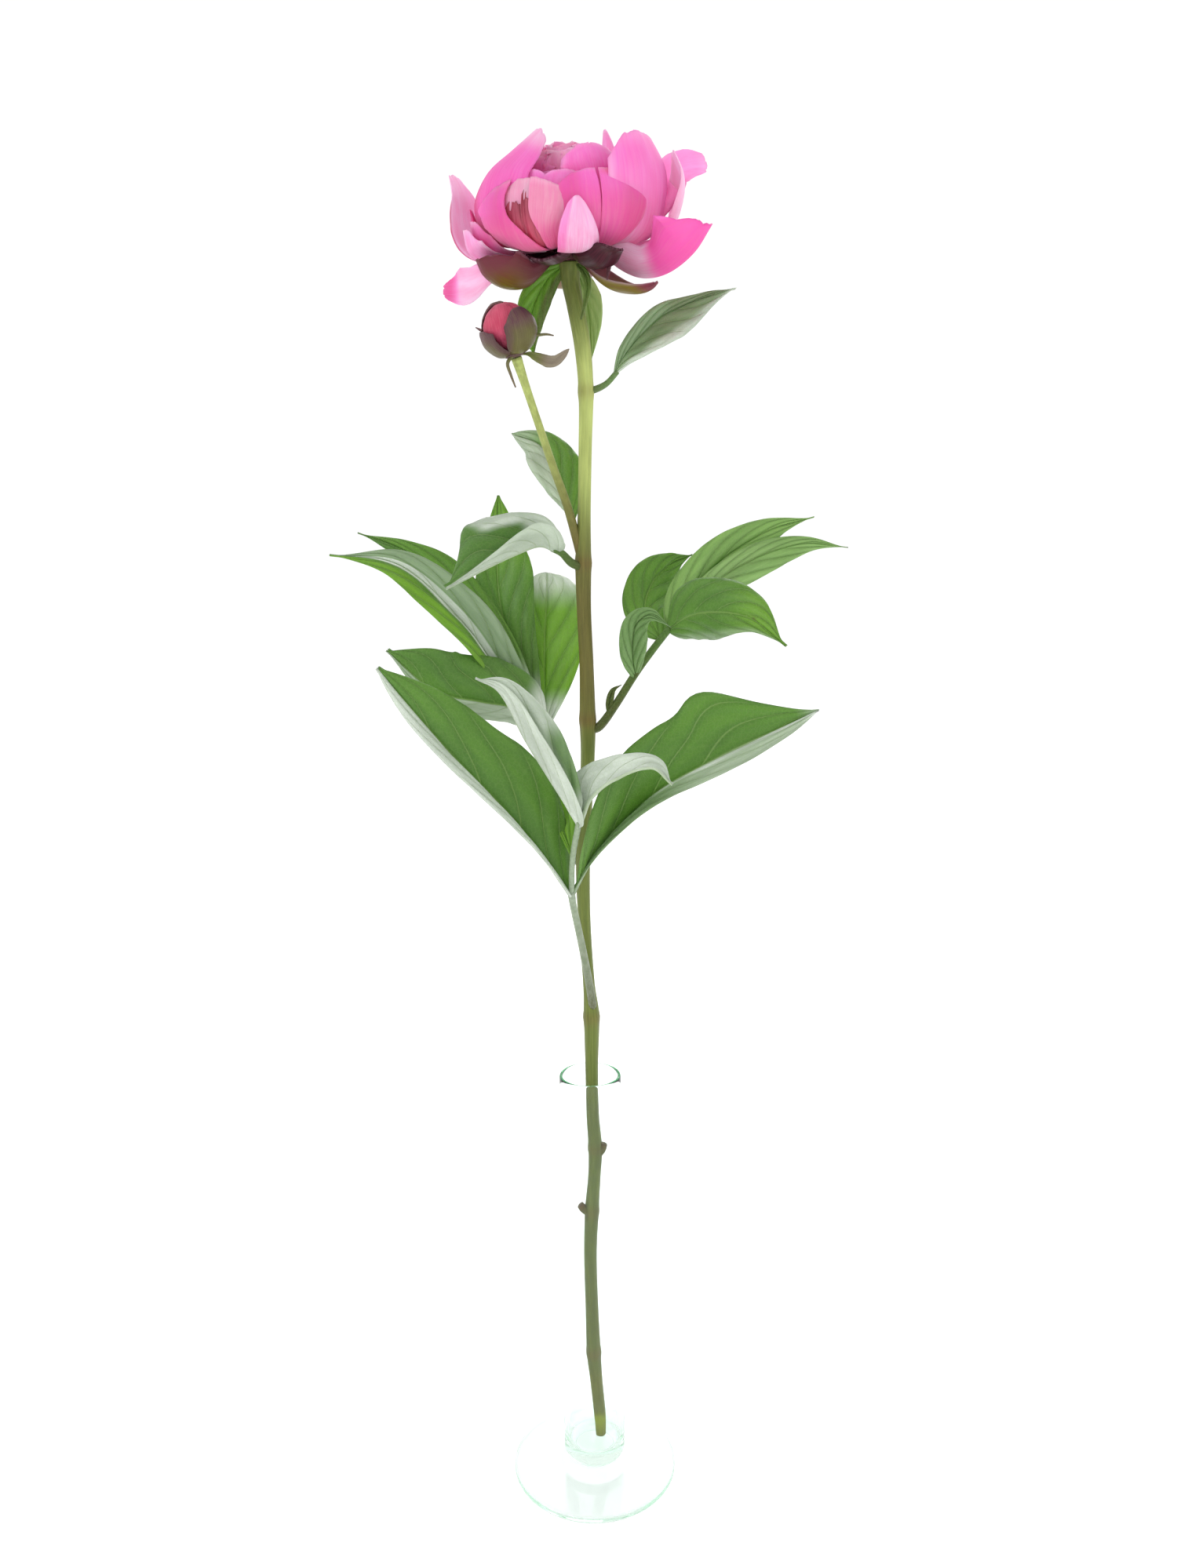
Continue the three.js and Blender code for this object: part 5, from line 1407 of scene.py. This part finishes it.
bloom_petals += [
    # the two tall ones
    petal(
        BLOOM, -30, [[7, 9], [18, 5], [28, 4.4], [35, 9], [38, 18], [38, 30], [33, 43]],
        widths=([4, 9, 14, 20, 24, 26, 24], [4, 9, 14, 19, 22, 22, 17]),
        curl=([6, 12, 20, 26, 26, 26, 26], [12, 20, 34, 46, 50, 46, 40]),
        crown=(0.18, 0.1), wave=(0.8, SIDE_WAVE, 0.11), ragged=0.015,
        tone=shaded(pale=[0.3, 0.4, 0.5, 0.45, 0.25, 0.15, 0.05]),
    ),
    petal(
        BLOOM, -152,
        [[7, 9], [18, 6], [28, 5.6], [34.6, 13], [36.4, 23], [32.4, 32], [22.6, 39.4], [11.6, 47.2]],
        widths=([4, 9, 15, 20, 22, 22, 17, 8], [4, 9, 14, 18, 19, 12, 4.6, 5]),
        curl=([12, 20, 34, 46, 52, 50, 42, 30], [10, 16, 22, 26, 30, 34, 36, 30]),
        crown=(0.05, 0.2), wave=(0.8, SIDE_WAVE, 0.48), ragged=0.015,
        tone=lambda u, v: (
            0, 0.8 * step(u, 0.84, 0.96), 0.85 * step(v, 0.1, 0.7) * (1 - step(u, 0.66, 0.9)),
        ),
    ),
    # upright on the far right, and the one with its tip rolled outwards
    petal(
        BLOOM, 2, [[7, 7], [20, 4], [33, 3.6], [42, 10], [46.4, 20], [46.8, 29], [43, 38.5]],
        widths=([4, 9, 13, 15, 16, 15, 9], [4, 9, 13, 15, 15, 13, 8]), curl=26, crown=0.16,
        wave=(0.8, SIDE_WAVE, 0.85), ragged=0.02, tone=shaded(pale=0.95),
    ),
    petal(
        BLOOM, 20, [[7, 8], [22, 6], [36, 12], [42, 22], [46, 31.4], [53, 35.4], [62, 36]],
        widths=[3, 8, 11, 11, 8, 7.4, 8.2], curl=16,
        tilt=((0, 0, 0, 20, 50, 64, 66), (0, 0, 0, -20, -50, -64, -66)),
        crown=0.26, ragged=0.02, tone=shaded(pale=0.1),
    ),
    # the boat on the lower right, whose near side is narrow at first and then rises high
    petal(
        BLOOM, -27,
        [[7, 6.4], [14, 2.4], [22, -4.4], [32, -8.6], [43, -7.6], [53.6, -1.4], [61.4, 8]],
        widths=([4, 8, 12, 17, 20, 19, 13], [4, 9, 12, 13.6, 17, 22, 15]),
        curl=([20, 40, 50, 56, 56, 56, 50], [40, 60, 70, 74, 88, 84, 60]),
        tilt=((0, 0, 0, 0, 8, 10, 10), (0, 18, 34, 34, 26, 20, 10)),
        crown=(0.12, 0.1), wave=(0.7, 1.3, 0.59), ragged=0.02,
        tone=lambda u, v: (
            0, step(v, -0.35, 0.0) * (1 - step(u, 0.5, 0.66)),
            0.4 * step(u, 0.5, 0.7) * (1 - step(v, 0.82, 0.95)),
        ),
    ),
    # spread on the left, with three shorter ones before it, and hanging on the lower left
    petal(
        BLOOM, 157, [[7, 6], [21, 1], [34, 0.4], [43, 7], [46.4, 18], [47.4, 28], [51, 36.4]],
        widths=([4, 9, 13, 14, 12.6, 9, 6.4], [4, 9, 12, 13, 12, 9, 6.4]),
        curl=([10, 14, 10, 2, -10, -14, -10], [10, 16, 26, 40, 44, 40, 20]), crown=0.26,
        wave=(0.7, SIDE_WAVE, 0.96), ragged=0.03,
        tone=lambda u, v: (0, 1, 0.9 * step(-v, 0.92, 1) * (1 - step(u, 0.75, 0.85))),
    ),
    petal(
        BLOOM, -172, [[7, 6], [21, 0.6], [33, 0.4], [40.6, 4.6], [42.4, 12.6]],
        widths=([4, 10, 14, 16, 15], [4, 9, 12, 13, 11]), curl=[10, 16, 30, 40, 44],
        crown=(0.3, 0.1), ragged=0.02, tone=shaded(pale=0.5, edge=0.4),
    ),
    # this one and the next are deep pink, partly their own tone and partly painted shade where the
    # bowl lies in shadow
    petal(
        BLOOM, -164, [[7, 6.6], [20, 2], [31, 1.6], [37.6, 6.6], [39.8, 15]],
        widths=[4, 9, 12, 12, 9], curl=[10, 16, 30, 40, 44], crown=0.25, ragged=0.02,
        tone=shaded(pale=0.2, dark=[0, 0, 0.3, 0.7, 0.2], edge=0.5),
    ),
    petal(
        BLOOM, 176, [[7, 7], [20, 3], [31, 3], [37.4, 8], [39.4, 21]],
        widths=[4, 8, 10, 10, 6], curl=[10, 16, 26, 40, 44], crown=0.3,
        tone=shaded(dark=1, edge=0),
    ),
    petal(
        BLOOM, -178, [[7, 5], [21, 0.4], [33, -4.6], [43, -9], [52.4, -9.4]],
        widths=([3, 7, 9, 11, 8.4], [3, 7, 10, 11, 8]), curl=24, crown=0.26,
        tilt=((0, -14, -34, -44, -40), (0, 14, 34, 44, 40)), wave=(0.6, SIDE_WAVE, 0.33),
        ragged=0.03,
        tone=lambda u, v: (0, 1 - step(u, 0.8, 0.88), 0.6 * step(u, 0.84, 0.93)),
    ),
]
# three large ones at the back
bloom_petals += [
    petal(
        BLOOM, angle, [[7, 6], [20, 4], [34, 9], [40, 22], [39, 34], [34, 40 + 1.5 * i]],
        widths=[4, 10, 17, 22, 22, 18], curl=[10, 20, 30, 34, 34, 30], crown=0.16,
        wave=(1.1, SIDE_WAVE, 0.1 + 0.3 * i), ragged=0.02, tone=shaded(pale=0.15),
    )
    for i, angle in enumerate((48, 84, 122))
]
print("with those behind and beside it", len(bloom_petals), "sheets")

# %% Inner petals
INNER = [
    # angle, how far out, top height, half-width, how the top leans in
    (-61, 27, 39.5, 15, 6), (-92, 31.4, 29.6, 12, 3), (-126, 31.4, 31, 15, 3),
    (-82, 23, 31, 12, 4), (-112, 23, 30.6, 12, 4), (-160, 28, 38, 15, 7),
    (-24, 29, 36, 14, 6), (14, 27, 38, 14, 6), (52, 27, 41, 14, 8), (92, 26, 41, 15, 8),
    (134, 27, 41, 14, 8),
]
for i, (inner_angle, out, top, half, lean) in enumerate(INNER):
    bloom_petals.append(petal(
        BLOOM, inner_angle,
        [[6, 10], [0.6 * out, 12], [0.93 * out, 17], [out, 0.72 * top],
         [out - 0.35 * lean, 0.88 * top], [out - lean, top]],
        widths=[3, 0.6 * half, 0.9 * half, half, 0.98 * half, 0.8 * half],
        curl=[20, 30, 40, 48, 48, 44], crown=0.1, wave=(0.9, SIDE_WAVE, 0.2 + 0.37 * i),
        ragged=0.03, rows=36, columns=32, tone=shaded(pale=0.1),
    ))
bloom_petals.append(petal(
    BLOOM, 52, [[6, 10], [18, 12], [27, 18], [31, 32], [30, 43], [27, 50.4]],
    widths=[3, 6, 9, 8, 4, 1.8], curl=40, crown=0.2, rows=36, columns=24, tone=shaded(pale=0.6),
))
core_profile = [[0, 5.3], [12, 5.3], [18, 7.5], [17, 12], [11, 15.5], [0, 16.6]]
bloom_petals.append(set_in(BLOOM, turned(corners_cut(core_profile, 2), 32, (0, 0, 0.5))))
piece("bloom_petals_look", bloom_petals, petal_skin, "petal_pink", "bloom_petals")

# %% The dried tissue in the tear


def pleats(u, v):
    """Lengthwise folds, uneven, that grow towards the torn top."""
    return (0.2 + 0.5 * u) * (0.6 * np.sin(8 * v + 3 * u) + 0.25 * np.sin(19 * v - 5 * u + 1))


torn = [
    petal(
        BLOOM, -118, [[7, 8], [18, 4.6], [28.4, 4], [35, 8], [37, 13.4], [36.8, 20]],
        widths=[3, 6, 8, 9.4, 8.4, 7.4], curl=16, crown=0.1, ragged=0.04, relief=pleats,
        notches=((0.1, 0.06, 0.3),),
        tone=lambda u, v: (
            0.5 * step(v, 0.2, 0.7), 0, 0.8 * step(u, 0.66, 0.9) + 0.3 * step(-v, 0.2, 0.8),
        ),
    ),
    petal(
        BLOOM, -113.4, [[16, 5.6], [28, 5], [34.4, 8.6], [36.4, 14], [35.6, 21], [33.6, 25]],
        widths=[1, 1.6, 2.4, 3, 3, 1.2], curl=-60, crown=0.3, ragged=0.06, relief=pleats,
        columns=24, tone=shaded(dark=[0.6, 0.6, 0.5, 0.3, 0.4, 0.6], edge=0.2),
    ),
]
piece("bloom_tear_look", torn, withered_skin, "petal_pink", "bloom_petals")

# %% [markdown]
# ## The heart
# In the middle the petals are narrow and crumpled, crowded into a dome. They are
# set out by the golden angle, as a plant sets its own, each a little further out than the last.

# %% Bloom heart
GOLDEN_ANGLE = 137.5
HEART_PETALS = 22

heart_skin = tissue(
    "heart_skin",
    colours=[screen(254, 216, 240), screen(246, 130, 196)],
    upper=[(0, screen(240, 60, 160)), (0.5, screen(255, 176, 236)), (1, screen(255, 224, 250))],
    lower=[(0, screen(240, 60, 160)), (0.5, screen(255, 176, 236)), (1, screen(255, 222, 250))],
    warm=screen(252, 200, 224), pale=screen(255, 244, 254), dark=screen(236, 40, 150),
    roughness=0.5, through=0.5, glow=screen(255, 110, 180), fineness=30.0, contrast=0.2, bump=0.25,
    sheen=0.25, gloss=0.3,
)


def heart_tone(i):
    """Deep pink below and pale above; every third petal is warmer, every fifth dark on top."""
    def tones(u, v):
        dark = 0.7 * (1 - step(u, 0.25, 0.6)) + 0.5 * (i % 5 == 2) * step(u, 0.7, 0.9)
        return 0.4 * (i % 3 == 0), 0.4 * step(u, 0.6, 1), dark
    return tones


heart_core = corners_cut([[0, 16.9], [5, 17.2], [9, 21], [11, 26], [9, 30], [4, 33], [0, 34]], 2)
heart = [set_in(BLOOM, turned(heart_core, 32, (0, 0, 0.5)))]
for i in range(HEART_PETALS):
    out = np.sqrt((i + 0.5) / HEART_PETALS)
    foot = 2 + 9.4 * out
    top = 43.4 - 5 * out * out + 1.2 * np.sin(2.4 * i)
    heart.append(petal(
        BLOOM, i * GOLDEN_ANGLE,
        [[foot, 19.6], [foot + 3.4 * out, 26], [foot + 5 * out, top - 9],
         [foot + 4.2 * out, top - 4], [foot + 1.4 * out, top - 0.8], [foot - 1.6 * out, top]],
        widths=[1.8, 4, 6, 7, 6.6, 5],
        curl=(40 + 30 * np.sin(1.9 * i), 40 + 30 * np.cos(2.7 * i)), crown=0.1, rows=34,
        columns=28, wave=(1.3, 2.1, 0.29 * i), ragged=0.03, frill=0.5, tone=heart_tone(i),
    ))
piece("bloom_heart_look", heart, heart_skin, "heart_pink", "bloom_heart")

# %% [markdown]
# ## The bud
# The bud is a tight ball. Three crimson petals wrap it, and rounded sepals clasp it from below,
# green at their base and purple above. Thin awl-shaped bracts stand off round it.

# %% Bud petals
bud_skin = tissue(
    "bud_skin",
    colours=[screen(226, 120, 140), screen(160, 50, 76)],
    upper=[(0, screen(180, 60, 90)), (1, screen(206, 84, 116))],
    lower=[(0, screen(190, 66, 104)), (0.5, screen(192, 60, 92)), (1, screen(204, 84, 114))],
    warm=screen(220, 110, 120), pale=screen(230, 150, 170), dark=screen(120, 34, 60),
    roughness=0.46, through=0.1, glow=screen(220, 40, 90), fineness=70.0, contrast=0.4, bump=0.4,
    gloss=0.25,
)
polar = np.linspace(0, np.pi, 24)
ball = np.stack([0.82 * BUD_RADIUS * np.sin(polar), BUD_RADIUS * (1.06 - 0.94 * np.cos(polar))], -1)
ball[[0, -1], 0] = 0
bud = [set_in(BUD, turned(ball, 40, (0, 0, 0.3)))]
for i, angle in enumerate((-100, 20, 140)):
    size = BUD_RADIUS * (0.91 - 0.03 * i)
    bud.append(petal(
        BUD, angle,
        [[0.6 * size, 5], [size, 10], [0.97 * size, 14], [0.66 * size, 18.6], [0.2 * size, 20.6]],
        widths=[7, 10, 10.5, 9.4, 6.4], curl=58, crown=0.35, thickness=0.6, rows=32, columns=32,
        ragged=0.02, tone=shaded(edge=0.4),
    ))
piece("bud_petals_look", bud, bud_skin, "bud_crimson", "bud_petals")

# %% Bud calyx
bud_sepal_skin = tissue(
    "bud_sepal_skin",
    colours=[screen(130, 120, 80), screen(80, 56, 62)],
    upper=[(0, screen(120, 100, 80)), (1, screen(130, 90, 100))],
    lower=[(0, screen(98, 96, 44)), (0.45, screen(94, 92, 42)), (0.75, screen(92, 58, 66)),
           (1, screen(78, 38, 62))],
    warm=screen(112, 130, 60), pale=screen(160, 150, 140), dark=screen(74, 34, 56),
    roughness=0.34, through=0.02, glow=screen(150, 140, 60), fineness=40.0, contrast=0.3, bump=0.3,
    gloss=0.25,
)
room_round = BUD_RADIUS + 1.3


def wrapping(height):
    """The first points of a shell's midline up the bud's side, to a given height."""
    return [[3, 0.8], [0.62 * room_round, 2], [0.94 * room_round, 6.4], [room_round, 11],
            [0.97 * room_round, height]]


def bud_sepal(angle, profile, half, curl, purple=0.0):
    """A rounded shell on the bud, purple towards its sides."""
    def tones(u, v):
        dark = np.clip(purple + 0.8 * step(np.abs(v), 0.45, 0.95), 0, 1)
        return 0, 0.3 * step(u, 0.96, 1), dark

    widths = [half * share for share in (0.7, 0.92, 1, 0.94, 0.75)]
    return petal(BUD, angle, profile, widths, curl, crown=0.25, thickness=0.7,
                 rows=30, columns=28, ragged=0.015, tone=tones)


cup = [[0, 0], [3, 0], [5.6, 1.2], [4.6, 2], [0, 0.9]]
AWL_TONE = ([0.9, 0.5], 0, [0.1, 0.3])
bud_calyx = [
    set_in(BUD, turned(cup, 28, (0, 0, 0.8))),
    bud_sepal(-48, [*wrapping(14), [0.8 * room_round, 17.6]], half=9, curl=46),
    bud_sepal(-160, wrapping(13), half=8.4, curl=42, purple=0.3),
    bud_sepal(110, [*wrapping(14), [0.8 * room_round, 18.6], [0.5 * room_round, 21.6]],
              half=9.6, curl=48),
    bud_sepal(30, wrapping(13), half=7, curl=36),
    # the broad bract below, then three awls
    sheet(
        [[-24, -15, 512.2], [-20.4, -16.6, 512.2], [-15.8, -17, 510.4], [-10.6, -17.4, 509.4],
         [-4.6, -18, 513.6]],
        half=(1.9, 3), outline=leaf_outline(1.6, 0.8, 0.7), thickness=0.6, rows=36, columns=16,
        tilt=(10, 20), ragged=0.05, ridge=0.3,
        tone=lambda u, v: (1 - 0.5 * step(u, 0.3, 0.6), 0.5 * step(u, 0.45, 0.7), 0),
    ),
    tube([[-27.4, -16.8, 511.4, 0.8], [-29.2, -19.2, 508, 0.7], [-28, -19.6, 503.6, 0.55],
          [-26.2, -19.6, 498.8, 0.3]], sides=12, tone=AWL_TONE),
    tube([[-18, -13, 519.8, 0.6], [-14, -12, 520.4, 0.5], [-10.8, -12, 519.9, 0.25]], sides=12,
         tone=AWL_TONE),
    tube([[-39.3, -14.8, 521.4, 0.7], [-42, -14.2, 522.9, 0.2]], sides=12, tone=(0, 0, 0.6)),
]
piece("bud_calyx_look", bud_calyx, bud_sepal_skin, "sepal_maroon", "bud_calyx")
